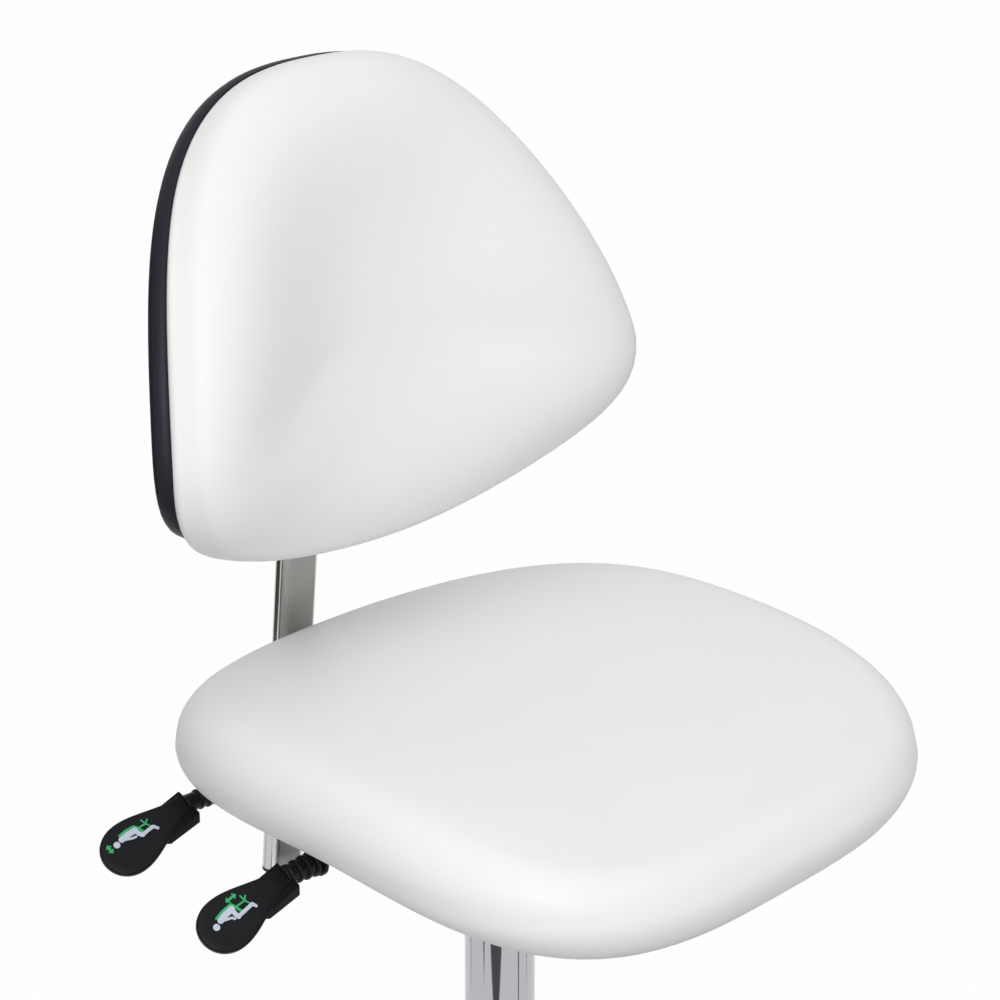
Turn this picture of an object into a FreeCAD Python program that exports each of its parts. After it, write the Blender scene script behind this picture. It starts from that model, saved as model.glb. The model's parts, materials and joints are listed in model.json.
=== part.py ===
import FreeCAD, Part
import math
import os

# Salon stool with a gas lift, a tilting back, two levers and a five-star base on castors.
# Millimetres. Z is up, the sitter faces -Y and both levers point to -X.
# The origin is on the floor, on the axis of the column, with the gas lift partly raised.

# Clearances shared by all pieces
running = 0.05            # radial gap of a turning or sliding fit
gap = 0.3                 # gap between pieces that lie against each other
overrun = 5.0             # how far a cutting tool runs past what it cuts
outline_point_count = 48  # points on each cushion outline

# Seat cushion
seat_rim_height = 505.0   # height of the widest line at the middle of the seat
seat_centre_y = -37.7
seat_half_width = 219.0
seat_front_reach = 224.7
seat_rear_reach = 241.5
seat_roll = 31.3          # radius of the rounded edge
seat_front_drop = 23.5    # how far the edge hangs lower at the front than at the sides
seat_rear_drop = 28.5
seat_dish = 5.0
seat_front_squareness_shares = (3.2, 3.38)
seat_rear_squareness_shares = (2.18, 2.88)
seat_slice_count = 41

# Seat board and its fasteners
board_thickness = 12.0
board_inset = 34.0
seat_bolt_radius = 4.0
seat_bolt_head_radius = 6.5
seat_bolt_head_height = 5.3
seat_bolt_x = 80.0
seat_bolt_front_y = -80.0
seat_bolt_rear_y = 85.0
tee_nut_barrel_radius = 5.0
tee_nut_flange_radius = 10.0
tee_nut_flange_height = 1.5

# Seat plate and pressed housing of the mechanism
seat_plate_thickness = 3.0
seat_plate_half_width = 96.0
seat_plate_margin = 16.0
housing_wall = 3.0
housing_half_width = 60.0
housing_front_y = -55.0
housing_depth = 45.0
housing_slot_width = 10.0
housing_slot_height = 20.0
lug_length = 18.0
lug_height = 20.0
lug_thickness = 3.0
bush_flange_thickness = 3.0
bush_half_width = 12.0
bush_half_height = 15.0

# Levers
lever_below_board = 25.7
lever_rod_radius = 4.0
lever_pivot_inset = 12.0  # from the outside of the housing to the pivot
lever_eye_radius = 7.0
lever_eye_half_width = 5.0
lever_pin_radius = 2.5
lift_lever_y = 0.0
lift_neck_x = -198.9
lift_inner_x = 8.0
lock_lever_inset = 82.6   # from the rear edge of the seat to the lock lever
lock_neck_x = -180.7
lock_inner_x = 6.0
rod_in_paddle = 10.0

# Boot on each lever
boot_length = 32.0
boot_rib_count = 4
boot_valley_radius = 5.4
boot_flange_thickness = 3.0
lift_boot_first_rib_radius = 6.5
lift_boot_last_rib_radius = 9.0
lift_boot_flange_radius = 10.0
lock_boot_first_rib_radius = 6.5
lock_boot_last_rib_radius = 8.0
lock_boot_flange_radius = 8.6

# Paddle on each lever
paddle_length = 71.0
paddle_half_width = 18.3
paddle_thickness = 5.0
paddle_edge_radius = 1.2
paddle_pitch_degrees = 18.0
paddle_roll_degrees = 38.0
paddle_above_rod = 7.0
neck_front = 12.0         # from the rod's axis to the side of the neck that faces front
neck_rear = 7.0
neck_below_rod = 13.5
neck_flat_length = 19.0
neck_length = 42.0
paddle_outline_shares = ((0.0, 0.35), (0.16, 0.43), (0.42, 0.77), (0.68, 1.0), (0.88, 0.82), (0.97, 0.46))

# Gas lift
column_radius = 25.0
column_wall = 2.0
column_low = 66.0
lift_at_rest = 50.0       # how far the seat stands above its lowest place
lift_stroke = 130.0
column_floor_thickness = 4.0
column_foot_radius = 23.9
guide_length = 84.0
guide_collar_height = 6.0
collar_clearance = 3.7    # left over the collar when the seat is at its lowest
cylinder_radius = 14.0
cylinder_wall = 2.0
cylinder_head = 16.0
cylinder_tip_radius = 13.0
cylinder_taper_length = 40.0
gland_length = 18.0
valve_pin_radius = 4.0
valve_pin_stand = 6.0
valve_pin_tail = 2.0
piston_rod_radius = 5.0
piston_rod_foot = 60.0
piston_length = 14.0
piston_clearance = 19.0   # left over the gland when the seat is at its highest
bearing_inner_radius = 8.0
bearing_outer_radius = 18.0
bearing_washer_thickness = 2.0
bearing_ball_radius = 2.0
bearing_ball_circle = 13.0
bearing_ball_count = 8
buffer_radius = 11.0
buffer_length = 17.0
clip_radius = 9.0
clip_groove_radius = 4.0
clip_thickness = 1.5
clip_below_column = 2.3
socket_radius = 19.0
socket_recess = 2.0

# Back arm, its pivot and the sleeve of the back bar
pivot_behind_lever = 22.0
pivot_below_lever = 10.0
pivot_pin_radius = 6.0
pivot_pin_head_radius = 10.0
pivot_pin_head_height = 5.0
pivot_drum_radius = 13.0
pivot_bush_thickness = 4.7
housing_ear_radius = 18.0
housing_floor_clearance = 1.0
cheek_thickness = 4.0
cheek_half_height = 10.0
brake_pad_height = 20.0
brake_pad_length = 24.0
brake_pad_front = 7.0
sleeve_wall = 3.0
sleeve_length = 56.0
sleeve_below_rim = 104.0
clamp_shoe_thickness = 1.9
clamp_shoe_width = 28.0
clamp_shoe_height = 30.0
clamp_boss_radius = 9.0
clamp_boss_length = 12.0
clamp_screw_radius = 5.0
knob_radius = 20.0
knob_thickness = 16.0
knob_lobe_radius = 5.5
knob_lobe_count = 5
knob_stand_off = 3.0

# Back bar
bar_width = 35.3
bar_thickness = 15.0
bar_wall = 2.0
bar_behind_seat = 7.1     # from the rear edge of the seat to the bar's axis, at the height of the rim
bar_lean_degrees = 5.96
bar_low_end = 215.0       # from the seat's rim down the bar to its lower end
bar_high_end = 268.0      # from the seat's rim up the bar to its upper end
plug_cap = 3.0
plug_insert = 14.0

# Backrest
back_centre_inset = 66.9  # from the rear edge of the seat to the middle of the backrest
back_centre_above_rim = 227.5
back_recline_degrees = 12.5
back_widest_below_centre = 52.0
back_half_width = 212.4
back_top_reach = 246.8
back_bottom_reach = 88.0
back_roll = 13.5
back_crown = 12.0
back_wrap_radius = 390.0
back_top_squareness_shares = (2.5, 1.38)
back_bottom_squareness_shares = (1.96, 2.04)
back_slice_count = 41
back_board_thickness = 8.0
back_shell_wall = 3.0
back_shell_inset = 0.6
bracket_half_width = 32.0
bracket_low = -30.0
bracket_high = 50.0
bracket_thickness = 3.0
bracket_cheek_thickness = 3.0
bracket_edge = 5.0
bracket_bolt_radius = 3.0
bracket_bolt_head_radius = 5.0
bracket_bolt_head_height = 4.0
bracket_bolt_low_share = 0.2
bracket_bolt_high_share = 0.66
back_screw_radius = 2.5
back_screw_head_radius = 4.5
back_screw_head_height = 3.0
back_screw_x = 26.0
back_screw_margin = 8.0

# Five-star base
base_radius = 290.0       # circle of the castor stems
arm_count = 5
arm_first_degrees = 90.0
arm_wall = 2.5
arm_tip_overhang = 15.0
arm_hub_width = 34.0
arm_hub_height = 36.0
arm_hub_centre_z = 97.0
arm_tip_width = 26.0
arm_tip_height = 22.0
arm_tip_centre_z = 78.0
arm_corner_radius = 6.0
hub_radius = 34.0
hub_low = 74.0
hub_high = 120.0

# Castors
wheel_radius = 25.0
wheel_width = 18.0
wheel_edge_radius = 4.0
wheel_dish_depth = 4.0
wheel_dish_radius = 17.0
wheel_hub_radius = 8.0
axle_radius = 4.0
castor_trail = 22.0
castor_web = 10.0
castor_hood_gap = 2.0
castor_hood_wall = 3.0
castor_hood_base = 30.0
castor_web_base = 12.5
castor_boss_radius = 12.0
castor_boss_low = 42.0
castor_top = 60.0
stem_radius = 5.5
stem_in_housing = 12.0
stem_in_socket = 26.0
stem_flange_radius = 8.0
stem_flange_height = 1.7
ring_groove_radius = 4.5
ring_length = 8.0
ring_slot = 2.0
ring_above_flange = 8.0
socket_tube_radius = 9.0
socket_tube_length = 30.0
castor_turn_degrees = 90.0


# Heights and places that follow from the sizes above

board_low = seat_rim_height - seat_roll
board_high = board_low + board_thickness
plate_low = board_low - seat_plate_thickness
housing_low = plate_low - housing_depth
lever_height = board_low - lever_below_board
pin_top = lever_height - lever_rod_radius - gap
cylinder_high = pin_top - valve_pin_stand
collar_high = cylinder_high - cylinder_taper_length - lift_at_rest - collar_clearance
column_high = collar_high - guide_collar_height
bearing_low = column_low + column_floor_thickness
balls_low = bearing_low + bearing_washer_thickness
upper_washer_low = balls_low + 2 * bearing_ball_radius + gap
buffer_low = upper_washer_low + bearing_washer_thickness
cylinder_lowest = buffer_low + buffer_length + gap
cylinder_low = cylinder_lowest + lift_at_rest
piston_low = cylinder_lowest + lift_stroke + gland_length + piston_clearance
lever_pivot_x = -housing_half_width + lever_pivot_inset
seat_rear_y = seat_centre_y + seat_rear_reach
lock_lever_y = seat_rear_y - lock_lever_inset
pivot_y = lock_lever_y + pivot_behind_lever
pivot_z = lever_height - pivot_below_lever
cheek_boss_radius = pivot_drum_radius + cheek_thickness
bar_rim_y = seat_rear_y + bar_behind_seat
back_centre_y = seat_rear_y - back_centre_inset
back_centre_z = seat_rim_height + back_centre_above_rim
sleeve_inner_x = bar_width / 2 + gap
sleeve_outer_x = sleeve_inner_x + sleeve_wall
sleeve_front = -bar_thickness / 2 - gap
sleeve_back = bar_thickness / 2 + gap + clamp_shoe_thickness + gap
castor_seat_z = castor_top + gap


# Simple solids

def vec(x, y, z):
    return FreeCAD.Vector(x, y, z)


def upright(radius, low, high, x=0, y=0):
    return Part.makeCylinder(radius, high - low, vec(x, y, low))


def upright_ring(outer, inner, low, high, x=0, y=0):
    bore = upright(inner, low - overrun, high + overrun, x, y)
    return upright(outer, low, high, x, y).cut(bore)


def across(radius, start_x, end_x, y, z):
    return Part.makeCylinder(radius, end_x - start_x, vec(start_x, y, z), vec(1, 0, 0))


def along(radius, start_y, end_y, x, z):
    return Part.makeCylinder(radius, end_y - start_y, vec(x, start_y, z), vec(0, 1, 0))


def block(low_x, high_x, low_y, high_y, low_z, high_z):
    corner = vec(low_x, low_y, low_z)
    return Part.makeBox(high_x - low_x, high_y - low_y, high_z - low_z, corner)


def side_plate(points, low_x, high_x):
    """A plate of the given outline in Y and Z, between two places along X."""
    corners = [vec(low_x, y, z) for y, z in points]
    face = Part.Face(Part.makePolygon(corners + corners[:1]))
    return face.extrude(vec(high_x - low_x, 0, 0))


def joined(solids):
    whole = solids[0]
    for solid in solids[1:]:
        whole = whole.fuse(solid)
    return whole.removeSplitter()


def moved(shape, placement):
    copy = shape.copy()
    copy.Placement = placement.multiply(copy.Placement)
    return copy


def mirrored_x(shape):
    return shape.mirror(vec(0, 0, 0), vec(1, 0, 0))


# Cushion outlines and sections

def reach_of(side, reaches):
    return reaches[0] if side < 0 else reaches[1]


def superellipse_outline(half_width, reaches, squareness, centre):
    """A closed curve in the plane Z = 0, round at the sides, with its own shape at each end."""
    points = []
    for step in range(outline_point_count):
        angle = 2 * math.pi * step / outline_point_count
        sine = math.sin(angle)
        cosine = math.cos(angle)
        across_power, along_power = reach_of(cosine, squareness)
        x = half_width * math.copysign(abs(sine) ** (2 / across_power), sine)
        y = reach_of(cosine, reaches) * math.copysign(abs(cosine) ** (2 / along_power), cosine)
        points.append(vec(x, centre + y, 0))
    curve = Part.BSplineCurve()
    curve.interpolate(Points=points, PeriodicFlag=True)
    return Part.Wire(curve.toShape())


def outline_plate(outline, low, high):
    face = Part.Face(outline)
    face.translate(vec(0, 0, low))
    return face.extrude(vec(0, 0, high - low))


def arc_or_line(start, middle, end):
    halfway = (start + end) * 0.5
    if halfway.distanceToPoint(middle) < gap / 1000:
        return Part.LineSegment(start, end).toShape()
    return Part.Arc(start, middle, end).toShape()


def pillow_section(y, half_width, half_height, middle_z, rise, wrap_radius):
    """A closed section across a cushion: two rounded edges, a top and an underside."""
    inner = half_width - half_height
    lean = math.asin(inner / wrap_radius) if wrap_radius else 0
    lift = wrap_radius * (1 - math.cos(lean))

    def edge_point(turn_degrees):
        turn = math.radians(turn_degrees) + lean
        z = middle_z + lift + half_height * math.sin(turn)
        return vec(inner + half_height * math.cos(turn), y, z)

    right = [edge_point(turn) for turn in (-90, -45, 0, 45, 90)]
    left = [vec(-point.x, point.y, point.z) for point in right]
    top = vec(0, y, middle_z + half_height + rise)
    bottom = vec(0, y, middle_z - half_height)
    edges = [
        arc_or_line(right[0], right[1], right[2]),
        arc_or_line(right[2], right[3], right[4]),
        arc_or_line(right[4], top, left[4]),
        arc_or_line(left[4], left[3], left[2]),
        arc_or_line(left[2], left[1], left[0]),
        arc_or_line(left[0], bottom, right[0]),
    ]
    return Part.Wire(edges)


def pillow(half_width, reaches, squareness, roll, drops, rise, wrap_radius, centre, rim_z, count):
    """A cushion lofted through sections that crowd together towards its two ends."""
    sections = []
    end_share = 0.999
    last = math.asin(end_share)
    for step in range(count):
        share = math.sin(last * (2 * step / (count - 1) - 1))
        reach = reach_of(share, reaches)
        across_power, along_power = reach_of(share, squareness)
        width = half_width * (1 - abs(share) ** along_power) ** (1 / across_power)
        straight = reach - roll
        past = max(0, abs(share) * reach - straight)
        height = math.sqrt(roll ** 2 - past ** 2)
        fall = reach_of(share, drops) * min(1, abs(share) * reach / straight) ** 2
        bulge = rise * (1 - share ** 2)
        y = centre + share * reach
        sections.append(pillow_section(y, width, height, rim_z - fall, bulge, wrap_radius))
    return Part.makeLoft(sections, True, False)


# Seat

def seat_board_outline():
    reaches = (seat_front_reach - board_inset, seat_rear_reach - board_inset)
    squareness = (seat_front_squareness_shares, seat_rear_squareness_shares)
    half_width = seat_half_width - board_inset
    return superellipse_outline(half_width, reaches, squareness, seat_centre_y)


def seat_bolt_places():
    return [(x, y) for x in (-seat_bolt_x, seat_bolt_x) for y in (seat_bolt_front_y, seat_bolt_rear_y)]


def seat_cushion():
    reaches = (seat_front_reach, seat_rear_reach)
    squareness = (seat_front_squareness_shares, seat_rear_squareness_shares)
    drops = (seat_front_drop, seat_rear_drop)
    pad = pillow(seat_half_width, reaches, squareness, seat_roll, drops, -seat_dish, 0,
                 seat_centre_y, seat_rim_height, seat_slice_count)
    pocket_low = board_low - seat_roll - seat_rear_drop
    return pad.cut(outline_plate(seat_board_outline(), pocket_low, board_high))


def seat_board():
    board = outline_plate(seat_board_outline(), board_low, board_high)
    for x, y in seat_bolt_places():
        board = board.cut(upright(tee_nut_barrel_radius, board_low - overrun, board_high + overrun, x, y))
        flange_low = board_high - tee_nut_flange_height
        board = board.cut(upright(tee_nut_flange_radius, flange_low, board_high + overrun, x, y))
    return board


def seat_tee_nuts():
    nuts = []
    for x, y in seat_bolt_places():
        barrel = upright(tee_nut_barrel_radius, board_low, board_high, x, y)
        flange = upright(tee_nut_flange_radius, board_high - tee_nut_flange_height, board_high, x, y)
        bore = upright(seat_bolt_radius, board_low - overrun, board_high + overrun, x, y)
        nuts.append(barrel.fuse(flange).cut(bore).removeSplitter())
    return Part.makeCompound(nuts)


def seat_bolts():
    bolts = []
    for x, y in seat_bolt_places():
        shank = upright(seat_bolt_radius, plate_low, board_high, x, y)
        head = upright(seat_bolt_head_radius, plate_low - seat_bolt_head_height, plate_low, x, y)
        bolts.append(shank.fuse(head).removeSplitter())
    return Part.makeCompound(bolts)


def seat_plate():
    low_y = seat_bolt_front_y - seat_plate_margin
    high_y = seat_bolt_rear_y + seat_plate_margin
    plate = block(-seat_plate_half_width, seat_plate_half_width, low_y, high_y, plate_low, board_low)
    for x, y in seat_bolt_places():
        plate = plate.cut(upright(seat_bolt_radius, plate_low - overrun, board_low + overrun, x, y))
    return plate


# Mechanism housing and what sits in it

def lever_places():
    return (lift_lever_y, lock_lever_y)


def housing_side():
    """A side wall with a rounded lower corner round the pivot of the back arm."""
    inner_x = housing_half_width - housing_wall
    radius = housing_ear_radius
    low_turn = math.asin((housing_low - pivot_z) / radius)

    def ear_point(turn):
        return vec(inner_x, pivot_y + radius * math.cos(turn), pivot_z + radius * math.sin(turn))

    corners = [
        ear_point(0),
        vec(inner_x, pivot_y + radius, plate_low),
        vec(inner_x, housing_front_y, plate_low),
        vec(inner_x, housing_front_y, housing_low),
        ear_point(low_turn),
    ]
    edges = [Part.LineSegment(start, end).toShape() for start, end in zip(corners, corners[1:])]
    edges.append(Part.Arc(ear_point(low_turn), ear_point(low_turn / 2), ear_point(0)).toShape())
    wall = Part.Face(Part.Wire(edges)).extrude(vec(housing_wall, 0, 0))
    return wall.cut(across(pivot_pin_radius, inner_x - overrun, housing_half_width + overrun, pivot_y, pivot_z))


def lever_lugs(y):
    inner_x = -housing_half_width + housing_wall
    near = lever_eye_half_width + gap
    low_z = lever_height - lug_height / 2
    high_z = lever_height + lug_height / 2
    lugs = [
        block(inner_x, inner_x + lug_length, y + near, y + near + lug_thickness, low_z, high_z),
        block(inner_x, inner_x + lug_length, y - near - lug_thickness, y - near, low_z, high_z),
    ]
    reach = near + lug_thickness + overrun
    hole = along(lever_pin_radius, y - reach, y + reach, lever_pivot_x, lever_height)
    return [lug.cut(hole) for lug in lugs]


def lever_slot(y, low_x, high_x):
    low_z = lever_height - housing_slot_height / 2
    high_z = lever_height + housing_slot_height / 2
    half = housing_slot_width / 2
    return block(low_x, high_x, y - half, y + half, low_z, high_z)


def mechanism_housing():
    floor_back_y = pivot_y - cheek_boss_radius - housing_floor_clearance
    floor = block(-housing_half_width, housing_half_width, housing_front_y, floor_back_y,
                  housing_low, housing_low + housing_wall)
    front = block(-housing_half_width, housing_half_width, housing_front_y, housing_front_y + housing_wall,
                  housing_low, plate_low)
    right = housing_side()
    left = mirrored_x(right)
    for y in lever_places():
        left = left.cut(lever_slot(y, -housing_half_width - overrun, -housing_half_width + housing_wall + overrun))
    lugs = [lug for y in lever_places() for lug in lever_lugs(y)]
    tray = joined([floor, front, right, left] + lugs)
    return tray.cut(upright(socket_radius, housing_low - overrun, housing_low + housing_wall + overrun))


def lever_bushes():
    bushes = []
    outer_x = -housing_half_width
    for y in lever_places():
        plate = block(outer_x - bush_flange_thickness, outer_x, y - bush_half_width, y + bush_half_width,
                      lever_height - bush_half_height, lever_height + bush_half_height)
        hole = lever_slot(y, outer_x - bush_flange_thickness - overrun, outer_x + overrun)
        bushes.append(plate.cut(hole))
    return Part.makeCompound(bushes)


def lever_pivot_pins():
    reach = lever_eye_half_width + gap + lug_thickness
    return Part.makeCompound([
        along(lever_pin_radius, y - reach, y + reach, lever_pivot_x, lever_height) for y in lever_places()
    ])


def taper_tool(low, high):
    """The gas cylinder's own outer shape, straight and then tapered, used for the piece and for its seat."""
    taper_low = cylinder_high - cylinder_taper_length
    cone = Part.makeCone(cylinder_radius, cylinder_tip_radius, cylinder_taper_length, vec(0, 0, taper_low))
    straight = upright(cylinder_radius, min(low, taper_low - overrun), taper_low)
    whole = joined([straight, cone])
    return whole.common(upright(2 * cylinder_radius, low, high))


def taper_socket():
    low = cylinder_high - cylinder_taper_length
    high = cylinder_high - socket_recess
    return upright(socket_radius, low, high).cut(taper_tool(low - overrun, cylinder_high))


# Gas lift

def column_tube():
    foot_high = hub_high
    foot = Part.makeCone(column_foot_radius, column_radius, foot_high - column_low, vec(0, 0, column_low))
    shaft = upright(column_radius, foot_high, column_high)
    bore = upright(column_radius - column_wall, column_low + column_floor_thickness, column_high + overrun)
    hole = upright(piston_rod_radius + running, column_low - overrun, column_low + 2 * column_floor_thickness)
    return joined([foot, shaft]).cut(bore).cut(hole)


def column_guide_bush():
    sleeve = upright(column_radius - column_wall, column_high - guide_length, column_high)
    collar = upright(column_radius, column_high, collar_high)
    bore = upright(cylinder_radius + running, column_high - guide_length - overrun, collar_high + overrun)
    return sleeve.fuse(collar).cut(bore).removeSplitter()


def bearing_lower_washer():
    return upright_ring(bearing_outer_radius, bearing_inner_radius, bearing_low, balls_low)


def bearing_balls():
    balls = []
    for step in range(bearing_ball_count):
        angle = 2 * math.pi * step / bearing_ball_count
        centre = vec(bearing_ball_circle * math.cos(angle), bearing_ball_circle * math.sin(angle),
                     balls_low + bearing_ball_radius)
        balls.append(Part.makeSphere(bearing_ball_radius, centre))
    return Part.makeCompound(balls)


def bearing_upper_washer():
    return upright_ring(bearing_outer_radius, piston_rod_radius, upper_washer_low, buffer_low)


def rubber_buffer():
    return upright_ring(buffer_radius, piston_rod_radius, buffer_low, buffer_low + buffer_length)


def clip_low():
    return column_low - clip_below_column - clip_thickness


def rod_clip():
    return upright_ring(clip_radius, clip_groove_radius, clip_low(), clip_low() + clip_thickness)


def piston_rod():
    rod = upright(piston_rod_radius, piston_rod_foot, piston_low + piston_length)
    groove = upright_ring(piston_rod_radius + overrun, clip_groove_radius, clip_low(), clip_low() + clip_thickness)
    return rod.cut(groove)


def piston_head():
    outer = cylinder_radius - cylinder_wall - running
    return upright_ring(outer, piston_rod_radius, piston_low, piston_low + piston_length)


def gas_cylinder():
    body = taper_tool(cylinder_low, cylinder_high)
    bore = upright(cylinder_radius - cylinder_wall, cylinder_low - overrun, cylinder_high - cylinder_head)
    hole = upright(valve_pin_radius + running, cylinder_high - cylinder_head - overrun, cylinder_high + overrun)
    return body.cut(bore).cut(hole)


def cylinder_gland():
    outer = cylinder_radius - cylinder_wall
    return upright_ring(outer, piston_rod_radius + running, cylinder_low, cylinder_low + gland_length)


def valve_pin():
    return upright(valve_pin_radius, cylinder_high - cylinder_head - valve_pin_tail, pin_top)


# Levers

def lever_rod(neck_x, y, inner_x):
    rod = across(lever_rod_radius, neck_x - rod_in_paddle, inner_x, y, lever_height)
    eye = along(lever_eye_radius, y - lever_eye_half_width, y + lever_eye_half_width, lever_pivot_x, lever_height)
    reach = lever_eye_half_width + overrun
    hole = along(lever_pin_radius + running, y - reach, y + reach, lever_pivot_x, lever_height)
    return joined([rod, eye]).cut(hole)


def lever_boot(neck_x, y, first_radius, last_radius, flange_radius):
    """A ribbed boot on the rod, with ribs that grow towards its flange."""
    circles = []
    rib_room = (boot_length - boot_flange_thickness) / boot_rib_count
    for rib in range(boot_rib_count):
        grown = rib / (boot_rib_count - 1)
        crest = first_radius + grown * (last_radius - first_radius)
        for share, radius in ((0.0, boot_valley_radius), (0.3, crest), (0.7, crest), (0.95, boot_valley_radius)):
            x = neck_x + (rib + share) * rib_room
            circles.append(Part.Wire(Part.makeCircle(radius, vec(x, y, lever_height), vec(1, 0, 0))))
    ribs = Part.makeLoft(circles, True, True)
    end_x = neck_x + boot_length
    flange = across(flange_radius, end_x - boot_flange_thickness, end_x, y, lever_height)
    collar = across(boot_valley_radius, end_x - 2 * boot_flange_thickness, end_x, y, lever_height)
    bore = across(lever_rod_radius, neck_x - overrun, end_x + overrun, y, lever_height)
    return joined([ribs, collar, flange]).cut(bore)


def paddle_placement(neck_x, y):
    """A frame with X outwards along the paddle, Y towards its front edge and Z out of its face."""
    turn = FreeCAD.Rotation(vec(0, 0, 1), 180)
    turn = turn.multiply(FreeCAD.Rotation(vec(0, 1, 0), paddle_pitch_degrees))
    turn = turn.multiply(FreeCAD.Rotation(vec(1, 0, 0), -paddle_roll_degrees))
    place = vec(neck_x, y, lever_height) + turn.multVec(vec(0, 0, paddle_above_rod))
    return FreeCAD.Placement(place, turn)


def paddle_plate():
    points = [vec(along_share * paddle_length, across_share * paddle_half_width, 0)
              for along_share, across_share in paddle_outline_shares]
    tip = vec(paddle_length, 0, 0)
    others = [vec(point.x, -point.y, 0) for point in reversed(points)]
    curve = Part.BSplineCurve()
    curve.interpolate(points + [tip] + others)
    closing = Part.LineSegment(others[-1], points[0]).toShape()
    face = Part.Face(Part.Wire([curve.toShape(), closing]))
    plate = face.extrude(vec(0, 0, -paddle_thickness))
    rims = [edge for edge in plate.Edges if edge.Length > paddle_length and edge.BoundBox.ZLength < gap]
    return plate.makeFillet(paddle_edge_radius, rims)


def paddle_neck(neck_x, y):
    """The block round the rod's end, with a flat underside that slopes up to the paddle further out."""
    low_z = lever_height - neck_below_rod
    high_z = lever_height + neck_below_rod
    corners = [(neck_x, low_z), (neck_x - neck_flat_length, low_z),
               (neck_x - neck_length, lever_height), (neck_x - neck_length, high_z), (neck_x, high_z)]
    outline = [vec(x, y - neck_front, z) for x, z in corners]
    face = Part.Face(Part.makePolygon(outline + outline[:1]))
    block_round_rod = face.extrude(vec(0, neck_front + neck_rear, 0))
    above = block(-paddle_length, paddle_length, -paddle_length, paddle_length,
                  -paddle_thickness / 2, paddle_length)
    return block_round_rod.cut(moved(above, paddle_placement(neck_x, y)))


def lever_paddle(neck_x, y):
    paddle = joined([moved(paddle_plate(), paddle_placement(neck_x, y)), paddle_neck(neck_x, y)])
    beyond_neck = block(neck_x, neck_x + boot_length, y - paddle_length, y + paddle_length,
                        lever_height - paddle_length, lever_height + paddle_length)
    return paddle.cut(beyond_neck).cut(across(lever_rod_radius, neck_x - rod_in_paddle, neck_x, y, lever_height))


def lift_lever_rod():
    return lever_rod(lift_neck_x, lift_lever_y, lift_inner_x)


def lift_lever_boot():
    return lever_boot(lift_neck_x, lift_lever_y, lift_boot_first_rib_radius, lift_boot_last_rib_radius,
                      lift_boot_flange_radius)


def lift_lever_paddle():
    return lever_paddle(lift_neck_x, lift_lever_y)


def lock_lever_rod():
    return lever_rod(lock_neck_x, lock_lever_y, lock_inner_x)


def lock_lever_boot():
    return lever_boot(lock_neck_x, lock_lever_y, lock_boot_first_rib_radius, lock_boot_last_rib_radius,
                      lock_boot_flange_radius)


def lock_lever_paddle():
    return lever_paddle(lock_neck_x, lock_lever_y)


def lock_brake_pad():
    high_x = lock_inner_x
    low_x = high_x - brake_pad_length
    back_y = pivot_y - pivot_drum_radius - gap
    high_z = lever_height + lever_rod_radius + gap
    pad = block(low_x, high_x, lock_lever_y - brake_pad_front, back_y, high_z - brake_pad_height, high_z)
    return pad.cut(across(lever_rod_radius, low_x - overrun, high_x + overrun, lock_lever_y, lever_height))


# Back arm

def bush_inner_x():
    return housing_half_width - housing_wall - pivot_bush_thickness


def back_pivot_pin():
    half = housing_half_width + pivot_pin_head_height
    pin = across(pivot_pin_radius, -half, half, pivot_y, pivot_z)
    right = across(pivot_pin_head_radius, housing_half_width, half, pivot_y, pivot_z)
    left = across(pivot_pin_head_radius, -half, -housing_half_width, pivot_y, pivot_z)
    return joined([pin, right, left])


def back_pivot_bushes():
    outer_x = housing_half_width - housing_wall
    ring = across(pivot_drum_radius, bush_inner_x(), outer_x, pivot_y, pivot_z)
    ring = ring.cut(across(pivot_pin_radius, 0, outer_x + overrun, pivot_y, pivot_z))
    return Part.makeCompound([ring, mirrored_x(ring)])


def back_pivot_drum():
    half = bush_inner_x() - gap
    drum = across(pivot_drum_radius, -half, half, pivot_y, pivot_z)
    return drum.cut(across(pivot_pin_radius + running, -half - overrun, half + overrun, pivot_y, pivot_z))


def bar_placement():
    """A frame with Z up along the back bar, Y to its rear and its origin at the seat's rim height."""
    return FreeCAD.Placement(vec(0, bar_rim_y, seat_rim_height), FreeCAD.Rotation(vec(1, 0, 0), bar_lean_degrees))


def sleeve_low():
    return -sleeve_below_rim - sleeve_length / 2


def sleeve_high():
    return -sleeve_below_rim + sleeve_length / 2


def back_arm_cheeks():
    """Two plates from the pivot drum to the sides of the bar's sleeve."""
    frame = bar_placement()
    upper = frame.multVec(vec(0, sleeve_front - sleeve_wall, sleeve_high()))
    upper_rear = frame.multVec(vec(0, sleeve_back, sleeve_high()))
    lower_rear = frame.multVec(vec(0, sleeve_back, sleeve_low()))
    lower = frame.multVec(vec(0, sleeve_front - sleeve_wall, sleeve_low()))
    points = [(pivot_y, pivot_z + cheek_half_height)]
    points += [(corner.y, corner.z) for corner in (upper, upper_rear, lower_rear, lower)]
    points += [(pivot_y, pivot_z - cheek_half_height)]
    far_x = sleeve_outer_x + cheek_thickness
    plate = side_plate(points, sleeve_outer_x, far_x)
    boss = across(cheek_boss_radius, sleeve_outer_x, far_x, pivot_y, pivot_z)
    hole = across(pivot_drum_radius, 0, far_x + overrun, pivot_y, pivot_z)
    cheek = joined([plate, boss]).cut(hole)
    return Part.makeCompound([cheek, mirrored_x(cheek)])


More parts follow.
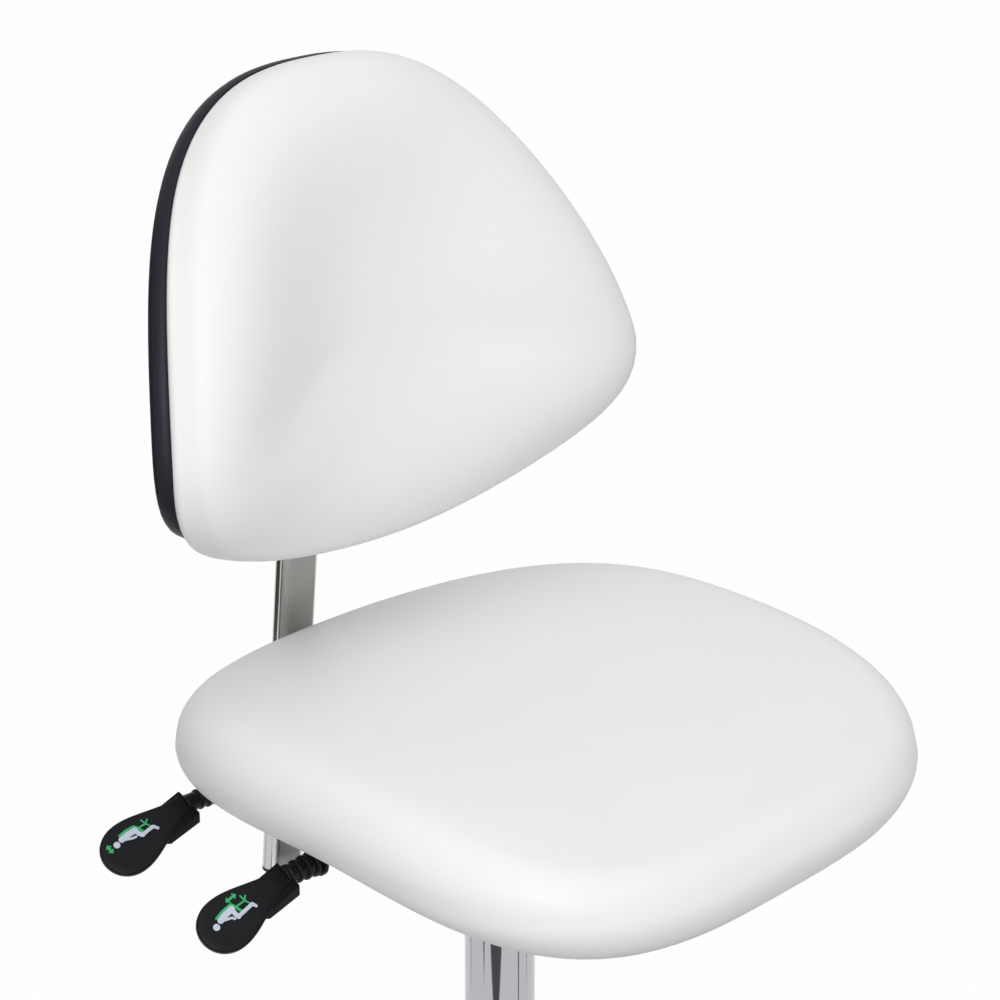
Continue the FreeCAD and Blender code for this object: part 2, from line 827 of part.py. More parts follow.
def bar_sleeve():
    back = sleeve_back + sleeve_wall
    outer = block(-sleeve_outer_x, sleeve_outer_x, sleeve_front - sleeve_wall, back, sleeve_low(), sleeve_high())
    inner = block(-sleeve_inner_x, sleeve_inner_x, sleeve_front, sleeve_back,
                  sleeve_low() - overrun, sleeve_high() + overrun)
    boss = along(clamp_boss_radius, back, back + clamp_boss_length, 0, -sleeve_below_rim)
    hole = along(clamp_screw_radius + running, 0, back + clamp_boss_length + overrun, 0, -sleeve_below_rim)
    sleeve = joined([outer.cut(inner), boss]).cut(hole)
    return moved(sleeve, bar_placement())


def clamp_shoe():
    front = bar_thickness / 2 + gap
    half_height = clamp_shoe_height / 2
    shoe = block(-clamp_shoe_width / 2, clamp_shoe_width / 2, front, front + clamp_shoe_thickness,
                 -sleeve_below_rim - half_height, -sleeve_below_rim + half_height)
    return moved(shoe, bar_placement())


def clamp_screw():
    knob_front = sleeve_back + sleeve_wall + clamp_boss_length + knob_stand_off
    screw = along(clamp_screw_radius, sleeve_back, knob_front + knob_thickness / 2, 0, -sleeve_below_rim)
    return moved(screw, bar_placement())


def clamp_knob():
    front = sleeve_back + sleeve_wall + clamp_boss_length + knob_stand_off
    back = front + knob_thickness
    lobe_circle = knob_radius - knob_lobe_radius
    solids = [along(lobe_circle, front, back, 0, -sleeve_below_rim)]
    for step in range(knob_lobe_count):
        angle = 2 * math.pi * step / knob_lobe_count
        x = lobe_circle * math.cos(angle)
        z = lobe_circle * math.sin(angle) - sleeve_below_rim
        solids.append(along(knob_lobe_radius, front, back, x, z))
    hole = along(clamp_screw_radius, front - overrun, front + knob_thickness / 2, 0, -sleeve_below_rim)
    return moved(joined(solids).cut(hole), bar_placement())


# Back bar

def bar_section(inset, height):
    """The flat oval of the bar, as a face at one height of the bar's own frame."""
    radius = bar_thickness / 2 - inset
    straight = (bar_width - bar_thickness) / 2
    corners = [vec(-straight, -radius, height), vec(straight, -radius, height),
               vec(straight, radius, height), vec(-straight, radius, height)]
    edges = [
        Part.LineSegment(corners[0], corners[1]).toShape(),
        Part.Arc(corners[1], vec(straight + radius, 0, height), corners[2]).toShape(),
        Part.LineSegment(corners[2], corners[3]).toShape(),
        Part.Arc(corners[3], vec(-straight - radius, 0, height), corners[0]).toShape(),
    ]
    return Part.Face(Part.Wire(edges))


def bar_length_of(inset, low, high):
    return bar_section(inset, low).extrude(vec(0, 0, high - low))


def bracket_bolt_places():
    """Where the two bolts cross the bar, in the bar's frame."""
    low = bar_high_end - (bracket_high - bracket_low)
    room = bar_high_end - low
    return [low + room * share for share in (bracket_bolt_low_share, bracket_bolt_high_share)]


def back_bar():
    outer = bar_length_of(0, -bar_low_end, bar_high_end)
    inner = bar_length_of(bar_wall, -bar_low_end - overrun, bar_high_end + overrun)
    bar = outer.cut(inner)
    for height in bracket_bolt_places():
        bar = bar.cut(across(bracket_bolt_radius, -bar_width, bar_width, 0, height))
    return moved(bar, bar_placement())


def back_bar_plug():
    cap = bar_length_of(0, -bar_low_end - plug_cap, -bar_low_end)
    insert = bar_length_of(bar_wall, -bar_low_end, -bar_low_end + plug_insert)
    return moved(cap.fuse(insert).removeSplitter(), bar_placement())


def back_bracket_bolts():
    bolts = []
    inner_x = bar_width / 2 + gap
    outer_x = inner_x + bracket_cheek_thickness
    end_x = outer_x + bracket_bolt_head_height
    for height in bracket_bolt_places():
        shank = across(bracket_bolt_radius, -end_x, end_x, 0, height)
        right = across(bracket_bolt_head_radius, outer_x, end_x, 0, height)
        left = across(bracket_bolt_head_radius, -end_x, -outer_x, 0, height)
        bolts.append(joined([shank, right, left]))
    return moved(Part.makeCompound(bolts), bar_placement())


# Backrest. Its pieces are made lying flat, face up, with Y along the back, and then stood up.

def back_placement():
    turn = FreeCAD.Rotation(vec(1, 0, 0), 90 - back_recline_degrees)
    return FreeCAD.Placement(vec(0, back_centre_y, back_centre_z), turn)


def back_outline(inset):
    reaches = (back_bottom_reach - inset, back_top_reach - inset)
    squareness = (back_bottom_squareness_shares, back_top_squareness_shares)
    return superellipse_outline(back_half_width - inset, reaches, squareness, -back_widest_below_centre)


def wrapped_layer(inset, front_depth, back_depth):
    """A layer of the backrest between two depths behind its rim, curved round the sitter's back."""
    bottom = -back_widest_below_centre - back_bottom_reach - overrun
    top = -back_widest_below_centre + back_top_reach + overrun
    outer = along(back_wrap_radius + back_depth, bottom, top, 0, back_wrap_radius)
    inner = along(back_wrap_radius + front_depth, bottom - overrun, top + overrun, 0, back_wrap_radius)
    room = outline_plate(back_outline(inset), -back_depth - overrun, back_wrap_radius)
    return outer.cut(inner).common(room)


def back_layer_depths():
    """Depths behind the rim: board front, board back, shell floor, shell back."""
    board_front = back_roll + gap
    board_back = board_front + back_board_thickness
    shell_floor = board_back + gap
    return board_front, board_back, shell_floor, shell_floor + back_shell_wall


def back_screw_places():
    low = bracket_low + back_screw_margin
    high = bracket_high - back_screw_margin
    return [(x, y) for x in (-back_screw_x, back_screw_x) for y in (low, high)]


def back_screw_holes(shape):
    depth = back_layer_depths()[3] + bracket_thickness + overrun
    for x, y in back_screw_places():
        shape = shape.cut(Part.makeCylinder(back_screw_radius, depth, vec(x, y, -depth)))
    return shape


def back_cushion():
    reaches = (back_bottom_reach, back_top_reach)
    squareness = (back_bottom_squareness_shares, back_top_squareness_shares)
    pad = pillow(back_half_width, reaches, squareness, back_roll, (0, 0), back_crown, back_wrap_radius,
                 -back_widest_below_centre, 0, back_slice_count)
    return moved(pad, back_placement())


def back_board():
    board_front, board_back, shell_floor, shell_back = back_layer_depths()
    board = wrapped_layer(back_shell_inset + back_shell_wall + gap, board_front, board_back)
    return moved(back_screw_holes(board), back_placement())


def back_shell():
    board_front, board_back, shell_floor, shell_back = back_layer_depths()
    outer = wrapped_layer(back_shell_inset, board_front, shell_back)
    hollow = wrapped_layer(back_shell_inset + back_shell_wall, board_front - overrun, shell_floor)
    return moved(back_screw_holes(outer.cut(hollow)), back_placement())


def bracket_cheek():
    """One side of the bracket, from its plate to just behind the bar, in the backrest's flat frame."""
    plate_back = -back_layer_depths()[3] - gap - bracket_thickness
    to_flat = back_placement().inverse().multiply(bar_placement())
    top = to_flat.multVec(vec(0, bracket_edge, bar_high_end))
    bottom = to_flat.multVec(vec(0, bracket_edge, bar_high_end - (bracket_high - bracket_low)))
    corners = [(bracket_low, plate_back), (bracket_high, plate_back), (top.y, top.z), (bottom.y, bottom.z)]
    inner_x = bar_width / 2 + gap
    return side_plate(corners, inner_x, inner_x + bracket_cheek_thickness)


def back_bracket():
    plate_front = -back_layer_depths()[3] - gap
    plate = block(-bracket_half_width, bracket_half_width, bracket_low, bracket_high,
                  plate_front - bracket_thickness, plate_front)
    cheek = bracket_cheek()
    bracket = moved(back_screw_holes(joined([plate, cheek, mirrored_x(cheek)])), back_placement())
    reach = bar_width
    for height in bracket_bolt_places():
        bracket = bracket.cut(moved(across(bracket_bolt_radius, -reach, reach, 0, height), bar_placement()))
    return bracket


def back_screws():
    board_front, board_back, shell_floor, shell_back = back_layer_depths()
    plate_back = -shell_back - gap - bracket_thickness
    tip = -board_front - gap - back_board_thickness / 2
    screws = []
    for x, y in back_screw_places():
        shank = Part.makeCylinder(back_screw_radius, tip - plate_back, vec(x, y, plate_back))
        head = Part.makeCylinder(back_screw_head_radius, back_screw_head_height,
                                 vec(x, y, plate_back - back_screw_head_height))
        screws.append(shank.fuse(head).removeSplitter())
    return moved(Part.makeCompound(screws), back_placement())


# Five-star base

def base_hub():
    body = upright(hub_radius, hub_low, hub_high)
    seat = Part.makeCone(column_foot_radius, column_radius, hub_high - column_low, vec(0, 0, column_low))
    return body.cut(seat)


def arm_section(distance, width, height, centre_z, inset):
    """A rectangle with round corners, across an arm that points along X."""
    radius = arm_corner_radius - inset
    half_y = width / 2 - arm_corner_radius
    half_z = height / 2 - arm_corner_radius
    edges = []
    quarter = (1, 1), (-1, 1), (-1, -1), (1, -1)
    for index, (side_y, side_z) in enumerate(quarter):
        corner = vec(distance, side_y * half_y, centre_z + side_z * half_z)
        start = math.radians(90 * index)
        ends = [corner + vec(0, math.cos(start + turn), math.sin(start + turn)) * radius
                for turn in (0, math.pi / 4, math.pi / 2)]
        edges.append(Part.Arc(*ends).toShape())
        next_y, next_z = quarter[(index + 1) % 4]
        next_corner = vec(distance, next_y * half_y, centre_z + next_z * half_z)
        next_start = next_corner + vec(0, math.cos(start + math.pi / 2), math.sin(start + math.pi / 2)) * radius
        edges.append(Part.LineSegment(ends[2], next_start).toShape())
    return Part.Wire(edges)


def arm_loft(start, end, inset):
    hub_end = arm_section(start, arm_hub_width, arm_hub_height, arm_hub_centre_z, inset)
    tip_end = arm_section(end, arm_tip_width, arm_tip_height, arm_tip_centre_z, inset)
    return Part.makeLoft([hub_end, tip_end], True, True)


def around(shape, step):
    turned = shape.copy()
    turned.rotate(vec(0, 0, 0), vec(0, 0, 1), arm_first_degrees + step * 360 / arm_count)
    return turned


def around_all(shape):
    return Part.makeCompound([around(shape, step) for step in range(arm_count)])


def base_arms():
    tip = base_radius + arm_tip_overhang
    outer = arm_loft(hub_radius / 2, tip, 0)
    inner = arm_loft(hub_radius / 2, tip - arm_wall, arm_wall)
    arm = outer.cut(inner)
    arm = arm.cut(upright(hub_radius, hub_low - overrun, hub_high + overrun))
    socket = upright(socket_tube_radius, castor_seat_z, hub_high, base_radius)
    return around_all(arm.cut(socket))


def castor_sockets():
    low = castor_seat_z + stem_flange_height
    tube = upright_ring(socket_tube_radius, stem_radius, low, low + socket_tube_length, base_radius)
    return around_all(tube)


def castor_stems():
    flange_high = castor_seat_z + stem_flange_height
    lower = upright(stem_radius, castor_top - stem_in_housing + gap, castor_seat_z, base_radius)
    flange = upright(stem_flange_radius, castor_seat_z, flange_high, base_radius)
    upper = upright(stem_radius, flange_high, flange_high + stem_in_socket, base_radius)
    ring_low = flange_high + ring_above_flange
    groove = upright_ring(stem_radius + overrun, ring_groove_radius, ring_low, ring_low + ring_length, base_radius)
    return around_all(joined([lower, flange, upper]).cut(groove))


def castor_grip_rings():
    ring_low = castor_seat_z + stem_flange_height + ring_above_flange
    ring = upright_ring(stem_radius, ring_groove_radius, ring_low, ring_low + ring_length, base_radius)
    slot = block(base_radius, base_radius + 2 * stem_radius, -ring_slot / 2, ring_slot / 2,
                 ring_low - overrun, ring_low + ring_length + overrun)
    return around_all(ring.cut(slot))


# Castors, made with the stem on the Z axis and the wheels behind it along X

def castor_in_place(shape, step):
    placed = shape.copy()
    placed.rotate(vec(0, 0, 0), vec(0, 0, 1), castor_turn_degrees)
    placed.translate(vec(base_radius, 0, 0))
    return around(placed, step)


def castor_wheel():
    """One wheel to the right of the web, turned about its axle, with a dished outer face."""
    inner = castor_web / 2 + gap
    outer = inner + wheel_width
    soft = wheel_edge_radius * (1 - math.sqrt(0.5))
    profile = [
        Part.LineSegment(vec(axle_radius, inner, 0), vec(wheel_radius - wheel_edge_radius, inner, 0)).toShape(),
        Part.Arc(vec(wheel_radius - wheel_edge_radius, inner, 0), vec(wheel_radius - soft, inner + soft, 0),
                 vec(wheel_radius, inner + wheel_edge_radius, 0)).toShape(),
        Part.LineSegment(vec(wheel_radius, inner + wheel_edge_radius, 0),
                         vec(wheel_radius, outer - wheel_edge_radius, 0)).toShape(),
        Part.Arc(vec(wheel_radius, outer - wheel_edge_radius, 0), vec(wheel_radius - soft, outer - soft, 0),
                 vec(wheel_radius - wheel_edge_radius, outer, 0)).toShape(),
    ]
    corners = [
        (wheel_radius - wheel_edge_radius, outer), (wheel_dish_radius + wheel_dish_depth / 2, outer),
        (wheel_dish_radius, outer - wheel_dish_depth), (wheel_hub_radius, outer - wheel_dish_depth),
        (wheel_hub_radius, outer), (axle_radius, outer), (axle_radius, inner),
    ]
    for start, end in zip(corners, corners[1:]):
        profile.append(Part.LineSegment(vec(start[0], start[1], 0), vec(end[0], end[1], 0)).toShape())
    face = Part.Face(Part.Wire(profile))
    wheel = face.revolve(vec(0, 0, 0), vec(0, 1, 0), 360)
    return wheel


def castor_wheels(step):
    right = castor_wheel()
    left = right.mirror(vec(0, 0, 0), vec(0, 1, 0))
    reach = castor_web / 2 + gap + wheel_width
    axle = along(axle_radius, -reach, reach, 0, 0)
    wheels = Part.makeCompound([right, left, axle])
    wheels.translate(vec(castor_trail, 0, wheel_radius))
    return castor_in_place(wheels, step)


def castor_housing(step):
    half_web = castor_web / 2
    hood_inner = wheel_radius + castor_hood_gap
    hood_outer = hood_inner + castor_hood_wall
    half_hood = half_web + gap + wheel_width
    web = along(hood_outer, -half_web, half_web, castor_trail, wheel_radius)
    keep_web = block(castor_trail - hood_outer, castor_trail + hood_outer, -half_web, half_web,
                     castor_web_base, wheel_radius + hood_outer)
    hood = along(hood_outer, -half_hood, half_hood, castor_trail, wheel_radius)
    keep_hood = block(castor_trail - hood_outer, castor_trail + hood_outer, -half_hood, half_hood,
                      castor_hood_base, wheel_radius + hood_outer)
    boss = upright(castor_boss_radius, castor_boss_low, castor_top)
    solid = joined([web.common(keep_web), hood.common(keep_hood), boss])
    for start, end in ((half_web, half_hood + overrun), (-half_hood - overrun, -half_web)):
        solid = solid.cut(along(hood_inner, start, end, castor_trail, wheel_radius))
    solid = solid.cut(along(axle_radius + running, -half_web - overrun, half_web + overrun,
                            castor_trail, wheel_radius))
    solid = solid.cut(upright(stem_radius + running, castor_top - stem_in_housing, castor_top + overrun))
    return castor_in_place(solid, step)


# All nodes

nodes = {
    "base_hub": base_hub,
    "base_arms": base_arms,
    "castor_sockets": castor_sockets,
    "castor_stems": castor_stems,
    "castor_grip_rings": castor_grip_rings,
    "column_tube": column_tube,
    "column_guide_bush": column_guide_bush,
    "bearing_lower_washer": bearing_lower_washer,
    "bearing_balls": bearing_balls,
    "bearing_upper_washer": bearing_upper_washer,
    "rubber_buffer": rubber_buffer,
    "rod_clip": rod_clip,
    "piston_rod": piston_rod,
    "piston_head": piston_head,
    "gas_cylinder": gas_cylinder,
    "cylinder_gland": cylinder_gland,
    "valve_pin": valve_pin,
    "taper_socket": taper_socket,
    "mechanism_housing": mechanism_housing,
    "seat_plate": seat_plate,
    "seat_bolts": seat_bolts,
    "seat_tee_nuts": seat_tee_nuts,
    "seat_board": seat_board,
    "seat_cushion": seat_cushion,
    "lever_bushes": lever_bushes,
    "lever_pivot_pins": lever_pivot_pins,
    "lift_lever_rod": lift_lever_rod,
    "lift_lever_boot": lift_lever_boot,
    "lift_lever_paddle": lift_lever_paddle,
    "lock_lever_rod": lock_lever_rod,
    "lock_lever_boot": lock_lever_boot,
    "lock_lever_paddle": lock_lever_paddle,
    "lock_brake_pad": lock_brake_pad,
    "back_pivot_pin": back_pivot_pin,
    "back_pivot_bushes": back_pivot_bushes,
    "back_pivot_drum": back_pivot_drum,
    "back_arm_cheeks": back_arm_cheeks,
    "bar_sleeve": bar_sleeve,
    "clamp_shoe": clamp_shoe,
    "clamp_screw": clamp_screw,
    "clamp_knob": clamp_knob,
    "back_bar": back_bar,
    "back_bar_plug": back_bar_plug,
    "back_bracket": back_bracket,
    "back_bracket_bolts": back_bracket_bolts,
    "back_screws": back_screws,
    "back_board": back_board,
    "back_shell": back_shell,
    "back_cushion": back_cushion,
}

os.makedirs("parts", exist_ok=True)

for name, make in nodes.items():
    make().exportStep(os.path.join("parts", name + ".step"))

for step in range(arm_count):
    castor_housing(step).exportStep(os.path.join("parts", "castor_%d_housing.step" % (step + 1)))
    castor_wheels(step).exportStep(os.path.join("parts", "castor_%d_wheels.step" % (step + 1)))
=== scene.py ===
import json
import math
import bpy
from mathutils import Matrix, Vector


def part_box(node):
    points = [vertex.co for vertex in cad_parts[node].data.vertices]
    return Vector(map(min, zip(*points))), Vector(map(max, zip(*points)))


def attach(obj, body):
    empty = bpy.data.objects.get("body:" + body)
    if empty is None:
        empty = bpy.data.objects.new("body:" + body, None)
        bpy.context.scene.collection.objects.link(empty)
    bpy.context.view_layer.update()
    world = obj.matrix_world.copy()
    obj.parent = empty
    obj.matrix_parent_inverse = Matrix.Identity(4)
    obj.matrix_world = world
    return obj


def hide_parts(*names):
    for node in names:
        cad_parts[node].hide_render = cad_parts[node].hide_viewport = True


bl_info = {
    "name": "Salon stool",
    "version": (1, 0, 0),
    "blender": (4, 5, 0),
    "location": "3D View > Sidebar > Stool",
    "description": "Cushions, levers and finishes of a salon stool on its packed frame",
    "category": "Object",
}

import bmesh
import bpy
from bpy.props import FloatProperty, FloatVectorProperty, IntProperty, PointerProperty
from mathutils import Matrix, Vector
from mathutils.kdtree import KDTree

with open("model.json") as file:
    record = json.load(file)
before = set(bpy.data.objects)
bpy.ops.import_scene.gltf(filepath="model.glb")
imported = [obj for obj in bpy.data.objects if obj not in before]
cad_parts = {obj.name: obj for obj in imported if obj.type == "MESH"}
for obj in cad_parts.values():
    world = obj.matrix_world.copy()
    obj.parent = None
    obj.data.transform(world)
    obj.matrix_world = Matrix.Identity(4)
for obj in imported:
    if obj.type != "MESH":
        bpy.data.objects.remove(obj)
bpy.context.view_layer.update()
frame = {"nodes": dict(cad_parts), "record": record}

# Metres. Z is up, the sitter faces -Y and the levers point to -X.

# Shapes shared with the solids
seat_centre_y = -0.0377
seat_rim_height = 0.505
seat_line_reaches = (0.1934, 0.2102)
seat_line_squareness = ((3.51, 3.73), (2.24, 2.99))
saddle_span = 0.2
back_centre = (0.0, 0.1369, 0.7325)
back_recline = math.radians(12.5)
back_widest = -0.044
back_line_reaches = (0.074, 0.218)
back_line_squareness = ((1.9, 2.55), (2.686, 1.222))
back_middle = 0.016
back_sheet_forward = 0.0065
flare_span = 0.3
rod_height = 0.448
rod_ends = {"lift": (-0.1989, 0.0), "lock": (-0.1807, 0.1212)}
paddle_pitch = math.radians(18)
paddle_roll = math.radians(38)
paddle_above_rod = 0.007
neck_front = 0.012
neck_rear = 0.0045
neck_below_rod = 0.010
neck_above_rod = 0.03
neck_skew = 0.0045
neck_rib_length = 0.021
neck_length = 0.042
neck_bevel = 0.0008
board_thickness = 0.0095
skin = 0.0004

# Rings of the cushions
seat_line_points = 168
seat_top_rings = 13
seat_ring_power = 0.8
back_line_points = 160
back_front_steps = 24
back_ring_power = 0.9
edge_rings = 18
front_evening = 120
edge_keeping = 4
rear_squareness = 4.4
seat_lip_share = 0.9855
seat_inner_share = 0.5
back_rear_shares = (0.75, 0.4)

# Cloth
cloth_voxel = 0.006
cloth_pressure = 4.0
cloth_frames = 20
cloth_slack = 0.0015
cloth_cap = 0.005
cloth_calming = 60
cloth_neighbours = 24
held_depth = 0.006
pinned_share = 0.99

# Board and shell behind the back cushion. Each place on the shell's edge is given inwards and forwards, in
# shares of the lip.
board_corner = 0.001
board_shares = (0.45, 0.885, 0.9)
shell_inset = 0.0006
shell_side_back = -0.0268
shell_inside = -0.0286
shell_back = -0.0316
shell_lip = 0.002
shell_foot_shares = ((4.6, -2.0),)
shell_lip_shares = ((3.1, 0.0), (1.8, 0.6), (1.5, 1.4), (0.7, 1.4), (0.4, 0.6), (0.05, -0.4), (0.0, -1.5))
shell_corner_shares = ((0.2, 2.1), (0.7, 0.8), (1.8, 0.0), (4.5, -0.6))
shell_inside_shares = (0.35, 0.7)
shell_back_shares = (0.88, 0.7, 0.35)
tuck_reach = 0.066
tuck_depth = 0.014
tuck_rise = 0.002
tuck_evening = 8
sharp_angle = math.radians(35)

# Camera, with its angles in degrees and its lens and sensor in millimetres. Each lamp has its name, place,
# aim, width and power in watts.
view_azimuth = -45.584
view_elevation = 21.557
camera_aim = (0.00015, 0.0, 0.65166)
camera_distance = 1.8002
camera_lens = 98.01
camera_sensor = 36.0
lamps = (("key_light", (-1.55, -1.75, 2.45), (0.0, 0.0, 0.6), 1.5, 46.0),
         ("top_light", (-0.2, -0.3, 3.2), (0.0, -0.1, 0.4), 1.6, 5.0))
fill_strength = 0.51
white = (1.0, 1.0, 1.0, 1.0)

# Floor, and the cards that the chrome mirrors. A card on the floor has its turn from the camera's side in
# degrees, the distance of its near end, and its half widths in degrees at the near end and the far end.
floor_half_width = 8.0
floor_glow_share = 0.985
card_height = 0.003
card_roughness = 0.9
dark_card_colour = (0.11, 0.102, 0.098)
grey_card_colour = (0.36, 0.36, 0.35)
side_card_ends = ((-1.0, 0.5), (-0.25, 1.35))
side_card_height = 1.3
bar_card_corners = ((0.02, -0.24), (0.279, -0.16), (0.279, 0.03), (0.02, -0.07))
grey_card_corners = ((0.279, -0.16), (0.4, -0.16), (0.4, 0.03), (0.279, 0.03))
card_far_end = 1.1
fan_steps = 16
floor_cards = ((-12, 0.41, 2, 34), (-52, 0.5, 0.3, 9), (-106, 0.47, 0.6, 3), (96, 0.49, 0.4, 4),
               (62, 0.44, 1.5, 3))


# Settings

class StoolSeatSizes(bpy.types.PropertyGroup):
    half_width: FloatProperty(
        name="Half width", description="From the middle to the side of the seat",
        default=0.219, min=0.1, max=0.3, unit="LENGTH")
    roll: FloatProperty(
        name="Edge radius", description="Radius of the rounded edge",
        default=0.0313, min=0.01, max=0.05, unit="LENGTH")
    saddle: FloatProperty(
        name="Front and rear drop", description="How far the rim falls 200 mm from the middle",
        default=0.0255, min=0.0, max=0.05, unit="LENGTH")
    side_rise: FloatProperty(
        name="Side rise", description="How far the rim rises 200 mm to the side",
        default=0.0016, min=0.0, max=0.02, unit="LENGTH")
    dish: FloatProperty(
        name="Dish", description="Depth of the hollow in the top",
        default=0.005, min=0.0, max=0.02, unit="LENGTH")


class StoolBackSizes(bpy.types.PropertyGroup):
    half_width: FloatProperty(
        name="Half width", description="From the middle to the tip of a wing",
        default=0.2098, min=0.1, max=0.3, unit="LENGTH")
    roll: FloatProperty(
        name="Edge radius", description="Radius of the rounded edge",
        default=0.020, min=0.005, max=0.03, unit="LENGTH")
    rear: FloatProperty(
        name="Rear depth", description="From the widest line to the flat rear of the cushion",
        default=0.0165, min=0.005, max=0.03, unit="LENGTH")
    middle: FloatProperty(
        name="Middle", description="How far the middle of the front stands before the middle sheet",
        default=0.021, min=0.0, max=0.06, unit="LENGTH")
    fullness: FloatProperty(
        name="Fullness", description="How early the front rises from its middle to the wings",
        default=2.3, min=1.2, max=4.0)
    crest: FloatProperty(
        name="Crest", description="How near to the edge the crest of the front lies",
        default=5.0, min=4.2, max=9.0)
    shoulder: FloatProperty(
        name="Shoulder", description="How steeply the front falls where it meets the rounded edge",
        default=math.radians(35), min=0.1, max=1.0, subtype="ANGLE")
    wrap: FloatProperty(
        name="Wrap", description="Forward curve near the middle, in metres for a square metre",
        default=0.271, min=0.0, max=3.0)
    wing_wrap: FloatProperty(
        name="Wing wrap", description="Forward curve of the wings, for the fourth power of the distance",
        default=27.67, min=0.0, max=60.0)
    flare: FloatProperty(
        name="Flare", description="How much more the wings wrap 300 mm above the widest place",
        default=0.878, min=0.0, max=2.0)


class StoolLeverSizes(bpy.types.PropertyGroup):
    length: FloatProperty(
        name="Paddle length", description="From the neck to the tip",
        default=0.071, min=0.04, max=0.1, unit="LENGTH")
    half_width: FloatProperty(
        name="Paddle half width", description="Half the widest place",
        default=0.0183, min=0.01, max=0.03, unit="LENGTH")
    thickness: FloatProperty(
        name="Paddle thickness", description="Thickness of the plate",
        default=0.005, min=0.002, max=0.01, unit="LENGTH")
    ribs: IntProperty(
        name="Boot ribs", description="Number of ribs on each boot", default=4, min=2, max=8)


class StoolColours(bpy.types.PropertyGroup):
    vinyl: FloatVectorProperty(
        name="Vinyl", description="Colour of both cushions", subtype="COLOR", size=3,
        default=(0.87, 0.862, 0.855), min=0.0, max=1.0)
    shell: FloatVectorProperty(
        name="Back shell", description="Colour of the shell behind the back cushion", subtype="COLOR",
        size=3, default=(0.013, 0.013, 0.02), min=0.0, max=1.0)
    lever: FloatVectorProperty(
        name="Levers", description="Colour of the two paddles", subtype="COLOR", size=3,
        default=(0.006, 0.0063, 0.008), min=0.0, max=1.0)
    green_print: FloatVectorProperty(
        name="Green print", description="Chair and arrows of the pictograms", subtype="COLOR", size=3,
        default=(0.013, 0.376, 0.114), min=0.0, max=1.0)
    grey_print: FloatVectorProperty(
        name="Grey print", description="Sitter of the pictograms", subtype="COLOR", size=3,
        default=(0.5, 0.56, 0.66), min=0.0, max=1.0)
    floor: FloatVectorProperty(
        name="Floor", description="Colour of the floor", subtype="COLOR", size=3,
        default=(0.6, 0.6, 0.6), min=0.0, max=1.0)


def settings(part):
    """The sizes of the seat, back or lever, or the colours, as the scene holds them."""
    return getattr(bpy.context.scene, "stool_" + part)


# Materials

def plain_material(name, colour, roughness):
    """A material of one colour, and its shader."""
    material = bpy.data.materials.new(name)
    material.use_nodes = True
    shader = next(node for node in material.node_tree.nodes if node.type == "BSDF_PRINCIPLED")
    shader.inputs["Base Color"].default_value = (*colour, 1.0)
    shader.inputs["Roughness"].default_value = roughness
    return material, shader


class Value:
    """A node's output socket that takes part in Python expressions."""

    def __init__(self, recipe, socket):
        self.recipe = recipe
        self.socket = socket

    def maths(self, operation, first, second):
        return self.recipe.node("ShaderNodeMath", {"operation": operation}, {0: first, 1: second})

    def __add__(self, other):
        return self.maths("ADD", self, other)

    def __radd__(self, other):
        return self.maths("ADD", other, self)

    def __mul__(self, other):
        return self.maths("MULTIPLY", self, other)

    def __rmul__(self, other):
        return self.maths("MULTIPLY", other, self)


class Recipe:
    """A material that is built node by node round one Principled shader."""

    def __init__(self, name, base_color, roughness, **constants):
        self.material, self.shader = plain_material(name + "_finish", base_color, roughness)
        self.tree = self.material.node_tree
        for socket, value in constants.items():
            self.shader.inputs[socket.replace("_", " ")].default_value = value
        self.place = self.node("ShaderNodeTexCoord", {}, {}, "Object")

    def node(self, kind, choices, sockets, output=0):
        node = self.tree.nodes.new(kind)
        stops = choices.pop("stops", None)
        for name, value in choices.items():
            setattr(node, name, value)
        if stops:
            ramp = node.color_ramp
            for element, (position, level) in zip(ramp.elements, stops):
                element.position = position
                element.color = (level, level, level, 1.0)
        for key, value in sockets.items():
            if isinstance(value, Value):
                self.tree.links.new(value.socket, node.inputs[key])
            else:
                node.inputs[key].default_value = value
        return Value(self, node.outputs[output])

    def feed(self, name, value):
        self.tree.links.new(value.socket, self.shader.inputs[name])

    def noise(self, scale, detail=2.0, roughness=0.5, vector=None):
        sockets = {"Vector": vector or self.place, "Scale": scale, "Detail": detail, "Roughness": roughness}
        return self.node("ShaderNodeTexNoise", {"noise_dimensions": "3D"}, sockets)

    def cells(self, scale):
        return self.node("ShaderNodeTexVoronoi", {"feature": "F1"}, {"Vector": self.place, "Scale": scale})

    def stretched(self, scale):
        return self.node("ShaderNodeMapping", {}, {"Vector": self.place, "Scale": scale})

    def ramp(self, value, stops):
        return self.node("ShaderNodeValToRGB", {"stops": stops}, {"Fac": value})

    def tint(self, share, first, second):
        choices = {"data_type": "RGBA", "blend_type": "MIX"}
        sockets = {0: share, 6: (*first, 1.0), 7: (*second, 1.0)}
        return self.node("ShaderNodeMix", choices, sockets, 2)

    def mottle(self, dark, light, scale, detail=3.0):
        """Soft clouds of a darker and a lighter shade."""
        self.feed("Base Color", self.tint(self.noise(scale, detail), dark, light))

    def roughen(self, lowest, spread, scale, detail=3.0):
        """Roughness that wanders up from its lowest value."""
        self.feed("Roughness", lowest + spread * self.noise(scale, detail))

    def relief(self, height, strength, depth=0.0001):
        bump = self.node("ShaderNodeBump", {}, {"Strength": strength, "Distance": depth, "Height": height})
        self.feed("Normal", bump)


def shade(colour, factor):
    return tuple(min(1.0, channel * factor) for channel in colour)


